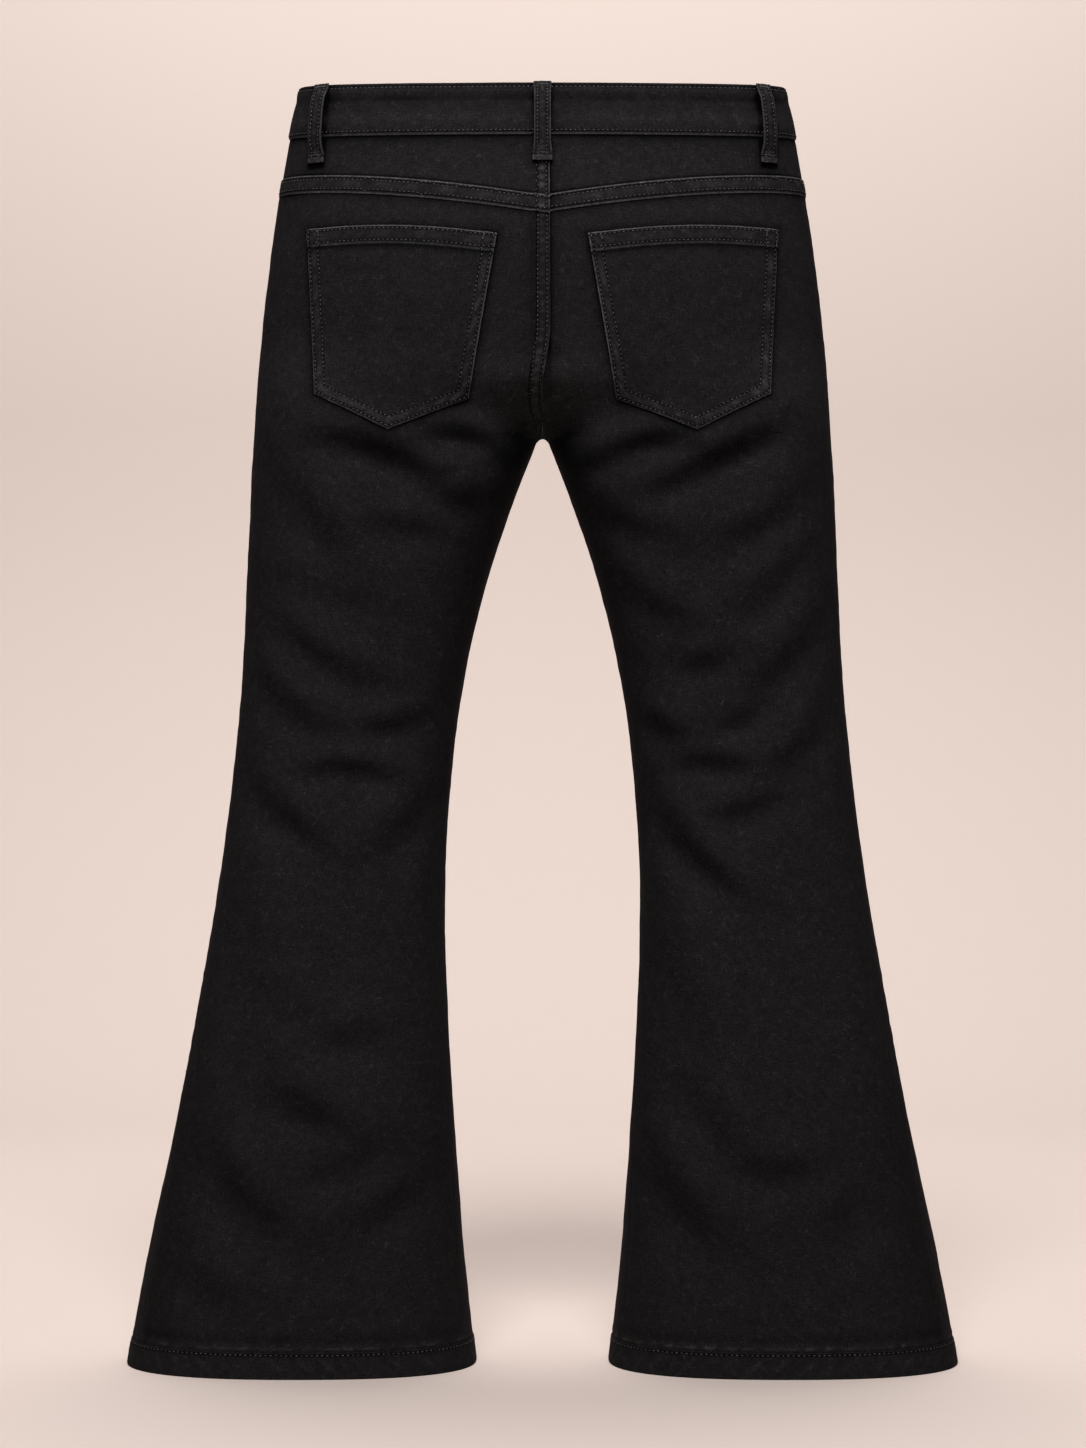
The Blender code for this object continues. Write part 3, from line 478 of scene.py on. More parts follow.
def weave_group():
    """Twill lines, slubs, loose fibres and cloudy dye over a UV map in metres: colour factor and height."""
    inputs = (("UV", "Vector", None), ("Twill pitch", "Float", 0.0009), ("Cloud", "Float", 0.2))
    outputs = (("Value", "Float"), ("Height", "Float"))
    group, given = node_group("denim_weave", "ShaderNodeTree", inputs, outputs)
    uv, maths = given["UV"], maths_in(group)

    def noise(scale, detail, rough, vector=uv, warp=0.0):
        inputs = {"Vector": vector, "Scale": scale, "Detail": detail, "Roughness": rough, "Distortion": warp}
        return node(group, "ShaderNodeTexNoise", inputs)

    split = node(group, "ShaderNodeSeparateXYZ", {0: uv})
    turns = maths("DIVIDE", maths("ADD", split.outputs[0], split.outputs[1]), given["Twill pitch"])
    twill = maths("SINE", maths("MULTIPLY", turns, 2 * math.pi))
    long_way = node(group, "ShaderNodeMapping", {"Vector": uv, "Scale": (1000, 170, 1)})
    cross_way = node(group, "ShaderNodeMapping", {"Vector": uv, "Scale": (190, 900, 1)})
    threads = maths("ADD", noise(1, 2, 0.5, long_way), noise(1, 2, 0.5, cross_way))
    grain = maths("ADD", noise(1100, 2, 0.6), maths("MULTIPLY", threads, 0.5))
    fine = remap(group, grain, 0.62, 1.38, 0.12, 1.88, clamp=False)
    curl = maths("ABSOLUTE", maths("SUBTRACT", noise(230, 1, 0.4, warp=1.6), 0.5))
    fibre = maths("SUBTRACT", 1.0, maths("MULTIPLY", curl, 28.0), clamp=True)
    patchy = remap(group, noise(150, 1, 0.5), 0.44, 0.62)
    fibre = maths("MULTIPLY", maths("MULTIPLY", fibre, patchy), 1.5)
    cloud = maths("SUBTRACT", noise(55, 5, 0.65), 0.5)
    cloud = maths("MULTIPLY", cloud, maths("MULTIPLY", given["Cloud"], 5.0))
    value = maths("ADD", maths("MULTIPLY", fine, maths("ADD", cloud, 1.0)), fibre)
    height = maths("ADD", maths("ADD", grain, maths("MULTIPLY", twill, 0.10)), maths("MULTIPLY", fibre, 0.3))
    node(group, "NodeGroupOutput", {"Value": value, "Height": height})
    return group


WEAVE = weave_group()


def denim(name, dark, light, cloud):
    """Cloth material: weave and cloudy dye, paler at rubbed edges and lumps and at painted highlights, darker
    with painted shade in seams and grooves and painted shadow beside pieces that lie on it.
    """
    material, tree, shader = new_material(name, 0.95, 0.04)
    maths = maths_in(tree)
    weave = node(tree, "ShaderNodeGroup", node_tree=WEAVE)
    feed(weave, {"UV": node(tree, "ShaderNodeUVMap", uv_map="cloth"), "Cloud": cloud})
    wear_and_painted_light = node(tree, "ShaderNodeAttribute", attribute_name="wear_and_painted_light").outputs["Fac"]
    near = maths("MAXIMUM", node(tree, "ShaderNodeAttribute", attribute_name="near").outputs["Fac"], 0.0)
    # Painted shadow beside the edge of a piece that lies on this cloth: deep within about 2 mm, soft out to
    # about 6 mm.
    painted_edge_shadow = maths("ADD", maths("MULTIPLY", maths("EXPONENT", maths("MULTIPLY", near, -480.0)), 0.8),
                   maths("MULTIPLY", maths("EXPONENT", maths("MULTIPLY", near, -160.0)), 0.3))
    # Painted shade: the dye colour is cut where the wear and painted light values fall below 0, and by the
    # painted edge shadow.
    after_painted_shade = maths("SUBTRACT", maths("ADD", maths("MINIMUM", wear_and_painted_light, 0.0), 1.0), painted_edge_shadow, clamp=True)
    amount = maths("MULTIPLY", after_painted_shade, weave.outputs["Value"])
    # Paler where those values rise above 0: rubbed edges and lumps, and painted highlights.
    paleness = maths("MULTIPLY", maths("MAXIMUM", wear_and_painted_light, 0.0), weave.outputs["Value"])
    dyed = node(tree, "ShaderNodeVectorMath", {0: dark, "Scale": amount}, operation="SCALE")
    pale = node(tree, "ShaderNodeVectorMath", {0: light, "Scale": paleness}, operation="SCALE")
    colour = node(tree, "ShaderNodeVectorMath", {0: dyed, 1: pale}, operation="ADD")
    relief = {"Strength": 0.6, "Distance": 0.0002, "Height": weave.outputs["Height"]}
    feed(shader, {"Base Color": colour, "Normal": node(tree, "ShaderNodeBump", relief)})
    return material


BLACK = denim("black_denim", (0.0088, 0.0081, 0.0086), (0.055, 0.052, 0.052), cloud=0.15)
# Black cotton-wrapped thread, a little glossier than the cloth, uneven along its length.
THREAD, tree, shader = new_material("black_thread", 0.6, 0.25)
place = node(tree, "ShaderNodeTexCoord").outputs["Object"]
dye = remap(tree, node(tree, "ShaderNodeTexNoise", {"Vector": place, "Scale": 420, "Detail": 1}),
            0.35, 0.65, 0.5, 1.6, clamp=False)
dyed = node(tree, "ShaderNodeVectorMath", {0: (0.038, 0.036, 0.036), "Scale": dye}, operation="SCALE")
feed(shader, {"Base Color": dyed})


def stitch_group():
    """Geometry nodes that lay one thread stitch after another along a line, flat on the cloth."""
    sizes = (("Pitch", 0.0035), ("Length", 0.0018), ("Width", 0.0008), ("Height", 0.0006), ("Turn", 0.0))
    inputs = [("Line", "Geometry", None), *((name, "Float", value) for name, value in sizes),
              ("Seed", "Int", 1), ("Thread", "Material", None)]
    group, given = node_group("stitch_rows", "GeometryNodeTree", inputs, [("Stitches", "Geometry")])
    group.is_modifier = True
    maths = maths_in(group)

    def uneven(low, high):
        between = {"Seed": given["Seed"], 2: low, 3: high}
        return node(group, "FunctionNodeRandomValue", between, data_type="FLOAT").outputs[1]

    curve = node(group, "GeometryNodeMeshToCurve", {0: given["Line"]})
    dots = node(group, "GeometryNodeCurveToPoints", {0: curve, "Length": given["Pitch"]}, mode="LENGTH")
    out = node(group, "GeometryNodeInputNamedAttribute", {"Name": "out"}, data_type="FLOAT_VECTOR")
    upright = node(group, "FunctionNodeAlignRotationToVector", {"Vector": out}, axis="Z")
    along = node(group, "FunctionNodeAlignRotationToVector",
                 {"Rotation": upright, "Vector": dots.outputs["Tangent"]}, axis="X", pivot_axis="Z")
    angle = maths("ADD", uneven(-0.1, 0.1), given["Turn"])
    turn = node(group, "FunctionNodeAxisAngleToRotation", {"Axis": (0, 0, 1), "Angle": angle})
    placed = node(group, "FunctionNodeRotateRotation", {0: along, 1: turn}, rotation_space="LOCAL")
    reach = maths("MULTIPLY", uneven(0.86, 1.1), given["Length"])
    size = node(group, "ShaderNodeCombineXYZ", {0: reach, 1: given["Width"], 2: given["Height"]})
    bead = node(group, "GeometryNodeMeshUVSphere", {"Segments": 8, "Rings": 5, "Radius": 0.5})
    thread = node(group, "GeometryNodeInstanceOnPoints",
                  {"Points": dots.outputs["Points"], "Instance": bead, "Rotation": placed, "Scale": size})
    real = node(group, "GeometryNodeRealizeInstances", {0: thread})
    smoothed = node(group, "GeometryNodeSetShadeSmooth", {0: real})
    painted = node(group, "GeometryNodeSetMaterial", {0: smoothed, "Material": given["Thread"]})
    node(group, "NodeGroupOutput", {0: painted})
    return group


STITCH_ROWS = stitch_group()


def stitches(name, cloth, rows, **sizes):
    """Stitches along rows of points near the cloth. Each row is dropped onto the cloth first."""
    data = cloth.data
    surface = BVHTree.FromPolygons([v.co for v in data.vertices], [p.vertices for p in data.polygons])
    verts, outs, edges = [], [], []
    for row in rows:
        start = len(verts)
        for point in np.asarray(row).reshape(-1, 3):
            place, normal, _, _ = surface.find_nearest(Vector(point))
            if normal.dot(Vector(point) - place) < 0:
                normal = -normal
            verts.append(place + normal * 0.12 * MM)
            outs.append(normal)
        edges += [(k, k + 1) for k in range(start, len(verts) - 1)]
    mesh = bpy.data.meshes.new(f"{name}_lines")
    mesh.from_pydata(verts, edges, [])
    layer = mesh.attributes.new("out", "FLOAT_VECTOR", "POINT")
    layer.data.foreach_set("vector", np.array(outs, np.float32).ravel())
    lines = linked(f"{name}_lines", mesh)
    modifier = lines.modifiers.new("stitches", "NODES")
    modifier.node_group = STITCH_ROWS
    ids = {item.name: item.identifier for item in STITCH_ROWS.interface.items_tree if item.in_out == "INPUT"}
    for key, value in sizes.items():
        modifier[ids[key.capitalize()]] = value
    modifier[ids["Thread"]] = THREAD
    evaluated = lines.evaluated_get(bpy.context.evaluated_depsgraph_get())
    made = linked(name, bpy.data.meshes.new_from_object(evaluated))
    bpy.data.objects.remove(lines)
    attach(made, "root")
    return made


SIDES = ((-1, "left"), (1, "right"))
YOKE_SIDE, YOKE_DIP = 919.5 * MM, 21.1 * MM
TUCKED = 1.5 * MM  # how far a panel's edge runs on under its neighbour
PANEL_FOOT = HEM_HEIGHT - TUCKED
OUTSEAM_SHIFT, INSEAM_SHIFT = 40 * MM, 33 * MM
LAP_ROWS = (2.0 * MM, 9.7 * MM)
# Corners of the seat pocket, x from the middle line and z: top inner, top outer, low outer, point, low inner.
POCKET = np.array([(34.2, 868.8), (179.8, 875.9), (172.6, 748.2), (116.8, 720.3), (55.9, 744.4)]) * MM
POCKET_ARCH = 3.4 * MM


def yoke_line(share):
    """Upper edge of the yoke's felled seam, dipping to the centre back."""
    return YOKE_SIDE - YOKE_DIP * share**1.9


def waist_top(face, share):
    """Top edge of the waistband. Behind, it drops soon after the side seam and then runs level."""
    if face == "back":
        return WAIST_SIDE - 5.3 * MM * (1 - (1 - np.clip(share, 0, 1)) ** 3)
    return WAIST_SIDE - 24 * MM * ease(share)


def mirrored(share):
    return 1 - np.abs(1 - share)


def edge_distance(x, z, first, second):
    """How far inside the pocket's edge from one corner to the next a point lies."""
    (ax, az), (bx, bz) = POCKET[first], POCKET[second]
    return ((x - ax) * (az - bz) + (z - az) * (bx - ax)) / -math.hypot(bx - ax, bz - az)


def beyond_pocket(x, z):
    """How far outside the pocket's outline a point lies, below 0 under the pocket."""
    inside = [edge_distance(x, z, k, (k + 1) % 5) for k in range(1, 5)]
    across = np.clip((x - POCKET[0, 0]) / (POCKET[1, 0] - POCKET[0, 0]), 0, 1)
    inside.append(edge_distance(x, z - POCKET_ARCH * np.sin(np.pi * across), 0, 1))
    return -np.min(inside, axis=0)


def lapped(u, length, lap):
    """Shares with the last 16 mm stretched so that they run lap past the middle line."""
    last = 16 * MM / length
    into = np.clip((u - (1 - last)) / last, 0, 1)
    return u + into * lap / length


def lap_lift(over):
    return (1 - smooth(-2.5, 2.5, over - LAP_BAND)) * 1.5 * MM


def seat_lap(z, over, paleness):
    """The lap of the seat seam, over from its edge: its lift, its relief in mm, and its wear and painted
    light, with a paler rubbed edge and lumps and painted shade along the rows of stitches.
    """
    lumps = 0.7 * np.sin(z / (7.4 * MM) * 2 * np.pi + 2.6 * seeded_noise(z, 0 * z, 50, 23))
    between = bump(over, 5.9, 2.7) * (0.45 + lumps)
    rows = ridges(over, (1, 2.0, 0.9), (1, 9.7, 0.9))
    relief = 0.45 * between - 0.6 * bump(over, 0, 0.8) - 0.3 * rows
    # Painted shade along both rows of stitches; the edge and the lumps between the rows are paler with wear.
    wear_and_painted_light = 0.8 * bump(over, 0.4, 0.6) + paleness * np.maximum(between, 0) - 0.65 * rows
    return lap_lift(over), relief, wear_and_painted_light


def panel_rows():
    """Heights of a panel's rows up to the crotch, closer together there and at the hem, and the rest."""
    hem_end = PANEL_FOOT + np.array([0, 0.7, 1.6, 2.8, 4.2]) * MM
    legs = np.concatenate([hem_end, np.arange(PANEL_FOOT + 6.5 * MM, CROTCH - 14 * MM, 2.8 * MM)])
    arch = CROTCH - CROTCH_ARCH * (1 - np.cos(np.linspace(np.pi / 2, 0, 8)))
    legs = np.concatenate([legs, np.linspace(legs[-1], arch[0], 8)[1:-1], arch])
    return legs, np.linspace(0, 1, 96)[1:] ** 1.15


def leg_panel(side, face, top_line, seeds, puckers):
    """Grid of a leg panel and the relief and wear that back and front share, at its seams and its hem.

    from_side, edge and over are the distances to the side seam, to the inside leg seam and to the edge of
    the lap at the middle. on_leg and above say how far below and above the crotch a point is, from 0 to 1.
    """
    way = -SIGN[face]
    lap = {"back": LAP_PAST_CENTRE, "front": FLY_PAST_CENTRE}[face] if side < 0 else 0
    length = length_at(face, YOKE_SIDE)
    u = spread(length, 1.0 * MM, 4.2 * MM) / length
    wide = lapped(u, length, lap)
    legs, rise = panel_rows()
    seat = CROTCH + (top_line(wide) - CROTCH) * rise[:, None]
    z = np.vstack([np.repeat(legs[:, None], len(u), axis=1), seat])
    grows = smooth(30, 80, z[:, -1:] - CROTCH)
    long = length_at(face, z)
    shift = way * (1 - smooth(40, 400, z))
    start = shift * OUTSEAM_SHIFT + SEAM_GAP / 2
    end = long - shift * INSEAM_SHIFT - SEAM_GAP / 2
    s = start + (end - start) * (u + (wide - u) * grows)
    from_side, edge = s - start, np.maximum(end - s, 0)
    points = on_form(side, z, way * s)
    on_leg = 1 - smooth(-20, 0, z - CROTCH)
    pucker = seeded_noise(z, 0 * z, 17, seeds[0] + side)
    ripple = seeded_noise(s, 0 * s, 13, seeds[2] + side)
    relief = (0.3 + puckers * pucker) * bump(from_side, 4.5, 3) - 0.75 * bump(from_side, 0, 0.9)
    relief += 0.25 * seeded_noise(s * side, z, 55, seeds[1] + side) - 0.75 * on_leg * bump(edge, 0, 0.9)
    relief += (0.35 + 0.25 * ripple) * bump(z, 24, 2.4) - 0.7 * bump(z - PANEL_FOOT, 0, 1.7)
    # Painted highlight on the bulge just above the hem, and painted shade over the lower legs, darker towards
    # the hem.
    wear_and_painted_light = (0.24 + 0.2 * ripple) * bump(z, 23.4, 2.2) - 0.16 * (1 - smooth(110, 300, z))
    over, above = long + grows * lap - s, smooth(-4, 30, z - CROTCH)
    normals = grid_normals(points, side) * way
    return z, s, from_side, edge, over, points, normals, on_leg, above, pucker, relief, wear_and_painted_light


for side, word in SIDES:
    z, s, from_side, edge, over, points, normals, on_leg, above, pucker, relief, wear_and_painted_light = leg_panel(
        side, "back", lambda share: yoke_line(share) - FELL_WIDTH + TUCKED, (3, 11, 81), 0.12)
    relief += on_leg * (0.25 + 0.12 * pucker) * bump(edge, 4.5, 3)
    # Paler lumps beside the seams are wear. The rest is painted: shade in the side and inside leg seams and
    # towards the side seams, light lifting the shaded middle just above the crotch, shadow above the hem's
    # bulge and beside the crotch. The cloth is also darker near the middle around the pockets' height.
    wear_and_painted_light += 0.16 * bump(from_side, 2.2, 1.3) * (0.7 + 0.4 * pucker) - 0.5 * bump(from_side, 0, 1.2)
    wear_and_painted_light += on_leg * ridges(edge, (0.14, 2.2, 1.3), (-0.4, 0, 1.2)) - 0.2 * (1 - smooth(0, 60, from_side))
    middle = np.abs(points[..., 0])
    wear_and_painted_light += 0.3 * bump(z, 746, 27) * smooth(72, 10, middle) - 0.25 * bump(z, 30, 4)
    wear_and_painted_light -= 0.5 * bump(z, 707, 11) * bump(middle, 26, 15) + 0.13 * bump(z, 840, 60) * smooth(60, 20, middle)
    lift = np.zeros(z.shape)
    foot = yoke_line(np.clip(s / length_at("back", z), 0, 1.1)) - FELL_WIDTH - z
    beside = over - LAP_PAST_CENTRE
    if side < 0:
        lift, seam_relief, seam_wear_and_painted_light = (above * part for part in seat_lap(z, over, 0.2))
        relief, wear_and_painted_light = relief + seam_relief, wear_and_painted_light + seam_wear_and_painted_light
        beside = 0.9 * np.abs(over - LAP_BAND) + 3 * MM
    # near sets a painted shadow beside the pocket's outline, under the yoke's felled band and beside the lap
    # of the seat seam.
    near = np.minimum(beyond_pocket(middle, z), foot * 1.3)
    near = np.minimum(near, beside + 60 * MM * (1 - above))
    outer = lift + relief * MM
    panel = cloth_shell(f"back_{word}", points, normals, outer, s * side, z, wear_and_painted_light,
                        inner=(outer + lift) / 2 - CLOTH, near=near)
    sewn = []
    if side < 0:
        up = np.linspace(CROTCH + 4 * MM, 882 * MM, 90)
        ends = length_at("back", up) + smooth(30, 80, up - CROTCH) * LAP_PAST_CENTRE
        rows = [over_form(side, up, ends - inset) for inset in LAP_ROWS]
        sewn = [stitches("back_left_stitches", panel, rows, seed=4)]

# ------------------------------------------------------------------ front legs
# Two front panels, cut away at the top for the curved pocket mouths, each mouth turned in and sewn twice.
# The wearer's left one laps over the right one below the waistband and carries the curved fly stitching.
SCOOP_WIDTH, SCOOP_DROP = 96 * MM, 74 * MM
FLY_TURN = 815 * MM
front_length = length_at("front", YOKE_SIDE)


def mouth_line(share, inset=0.0):
    """Top edge of a front panel: the curved pocket mouth, then the waist seam. inset moves it in."""
    waist = waist_top("front", mirrored(share)) - BAND_HEIGHT + TUCKED
    across = np.clip(share * front_length / (SCOOP_WIDTH + inset), 0, 1)
    return waist - (SCOOP_DROP + inset) * np.sqrt(1 - across**2)


for side, word in SIDES:
    z, s, from_side, edge, over, points, normals, on_leg, above, pucker, relief, wear_and_painted_light = leg_panel(
        side, "front", mouth_line, (5, 17, 85), 0.3)
    mouth = (mouth_line(s / length_at("front", z)) - z) * 0.8
    in_mouth = (1 - smooth(-4, 0, s - SCOOP_WIDTH)) * smooth(840, 850, z)
    relief += in_mouth * ridges(mouth, (0.35, 5, 4), (-0.5, 0, 0.9))
    wear_and_painted_light += 0.12 * bump(from_side, 2.2, 1.6) * (0.6 + 0.5 * pucker) + 0.7 * in_mouth * bump(mouth, 0.8, 0.8)
    lift = np.zeros(z.shape)
    if side < 0:
        lift = above * lap_lift(over)
        relief -= 0.6 * above * bump(over, 0, 0.8)
        wear_and_painted_light += 0.8 * above * bump(over, 0.6, 0.7)
    outer = lift + relief * MM
    panel = cloth_shell(f"front_{word}", points, normals, outer, s * side, z, wear_and_painted_light,
                        inner=(outer + lift) / 2 - CLOTH)
    rows = []
    for inset in (2.5 * MM, 8.5 * MM):
        across = np.sin(np.linspace(0.03, np.pi / 2, 60)) * (SCOOP_WIDTH + inset) / front_length
        level = mouth_line(across, inset)
        rows.append(over_form(side, level, -across * length_at("front", level))[level < 928 * MM])
    for inset in (30 * MM, 36 * MM) if side < 0 else ():
        straight = np.linspace(925 * MM, FLY_TURN, 40)
        bend = np.linspace(0, np.pi / 2, 14)[1:]
        level = np.concatenate([straight, FLY_TURN - (inset + 6 * MM) * np.sin(bend)])
        depth = np.concatenate([0 * straight + inset, inset - (inset - 3 * MM) * (1 - np.cos(bend))])
        rows.append(over_form(side, level, depth - length_at("front", level) - FLY_PAST_CENTRE))
    sewn = stitches(f"front_{word}_stitches", panel, rows, seed=7 + side)

# ------------------------------------------------------------------ yokes
# The V-shaped yoke of each side, from the waist seam to a felled seam 13.5 mm wide, sewn with two rows.
# The cloth is doubled in that band, so it stands proud, and the left yoke laps over the right one.
LOOP_SIDE_X, LOOP_SIDE_LEAN, LOOP_FRONT_X = 168.5 * MM, 4.5 * MM, 92 * MM
LOOP_FOOT = 924.5 * MM
LEAN_OVER = 60 * MM


def beside_loops(points):
    """How far beside the nearest belt loop each point lies, across the face that the loop is on."""
    x = np.abs(points[..., 0])
    leaning = LOOP_SIDE_X + LOOP_SIDE_LEAN * (WAIST_SIDE - points[..., 2]) / LEAN_OVER
    back = np.minimum(x - 6.2 * MM, np.abs(x - leaning) - 5.5 * MM)
    return np.where(points[..., 1] < DEPTH_SHIFT, back, np.abs(x - LOOP_FRONT_X) - 6 * MM)


for side, word in SIDES:
    lap = LAP_PAST_CENTRE if side < 0 else 0
    length = length_at("back", YOKE_SIDE)
    wide = lapped(spread(length, 0.7 * MM, 3.0 * MM) / length, length, lap)
    foot = yoke_line(wide) - FELL_WIDTH
    top = waist_top("back", mirrored(wide)) - BAND_HEIGHT + TUCKED
    fine = np.arange(0, 16.5, 0.5)[:, None] * MM
    coarse = np.linspace(0, 1, 30)[1:, None]
    coarse = 1.25 * coarse - 0.25 * coarse**3.5
    z = np.vstack([foot + fine, foot + fine[-1] + (top - foot - fine[-1]) * coarse])
    s = SEAM_GAP / 2 + (length_at("back", z) - SEAM_GAP) * wide
    points = on_form(side, z, s)
    up = z - foot
    over = length_at("back", z) + lap - s
    pucker = seeded_noise(s, 0 * s, 14, 31 + side)
    between = bump(up, 6.8, 3.0) * (0.5 + 0.7 * pucker)
    relief = 1.1 * (1 - smooth(12.9, 14.2, up)) + 0.3 * between + 0.3 * pucker * bump(top - z, 6.5, 4)
    relief += ridges(up, (-0.75, 0, 0.8), (-0.32, 2.4, 0.8), (-0.32, 11.2, 0.8)) - 0.75 * bump(s, 0, 0.9)
    # Paler band edges and lumps are wear; painted shade runs along both rows of stitches, with a painted
    # shadow under the band's lower edge.
    wear_and_painted_light = ridges(up, (0.9, 0.5, 0.5), (0.9, 13, 0.5), (-0.75, 2.4, 0.7), (-0.75, 11.2, 0.7), (-0.8, 14.6, 1))
    wear_and_painted_light += 0.12 * np.maximum(between, 0) - 0.02
    lift = 0 * z
    # near sets a painted shadow under the waistband's lower edge and beside the belt loops, and on the right
    # yoke beside the lap.
    loops = np.hypot(np.maximum(beside_loops(points), 0), np.maximum(LOOP_FOOT - z, 0))
    near = np.minimum((top - z - 2.1 * MM) * 0.8, np.where(z > LOOP_FOOT, beside_loops(points), loops))
    if side < 0:
        lift, seam_relief, seam_wear_and_painted_light = seat_lap(z, over, 0.38)
        relief, wear_and_painted_light = relief + seam_relief, wear_and_painted_light + seam_wear_and_painted_light
    else:
        near = np.minimum(near, over - LAP_PAST_CENTRE)
    outer = lift + relief * MM
    panel = cloth_shell(f"yoke_{word}", points, grid_normals(points, side), outer, s * side, z, wear_and_painted_light,
                        inner=lift + 0.4 * (outer - lift) - CLOTH, near=near)
    shares = np.linspace(0.005, 0.985 + lap / length, 120)
    rows = []
    for height in (2.4 * MM, 11.2 * MM):
        level = yoke_line(shares) - FELL_WIDTH + height
        rows.append(over_form(side, level, shares * length_at("back", level)))
    if side < 0:
        level = np.linspace(885 * MM, 944 * MM, 40)
        rows += [over_form(side, level, length_at("back", level) + lap - inset) for inset in LAP_ROWS]
    sewn = stitches(f"yoke_{word}_stitches", panel, rows, seed=12 + side)

# ------------------------------------------------------------------ seat pockets
# Two patch pockets with their edges turned in, sewn on with two rows along the sides and the pointed
# foot. The mouth is turned in by 15 mm, sewn with two rows and boxed at both corners.
# The pockets use a darker copy of the denim: painted shade that tones the pockets down.
SHADED_POCKET_DENIM = denim("pocket_denim", (0.0079, 0.0073, 0.0078), (0.055, 0.052, 0.052), cloud=0.16)
BOX_INSET = 9.8 * MM


def seat_points(side, x, z):
    """Points of the folded back of the form, by x from the middle line and height."""
    y = -depth_at("back", x, z) - fold_at(side, "back", x, z) + DEPTH_SHIFT
    return np.stack([side * x, y, z], axis=-1)


def along(first, second, inset, shorten=(0.0, 0.0), steps=60):
    """A row inside one edge of the pocket, from corner to corner and shortened at both ends."""
    a, b = POCKET[first], POCKET[second]
    run = (b - a) / np.linalg.norm(b - a)
    inward = np.array([run[1], -run[0]])
    return np.linspace(a + run * shorten[0], b - run * shorten[1], steps) + inward * inset


def on_seat(side, line):
    """Points 3 mm above the seat, for rows of stitches given by x and height."""
    x, z = line.T
    aside = seat_points(side, x + MM, z) - seat_points(side, x - MM, z)
    normal = np.cross(aside * side, seat_points(side, x, z + MM) - seat_points(side, x, z - MM))
    return seat_points(side, x, z) + normal / np.linalg.norm(normal, axis=1, keepdims=True) * 3 * MM


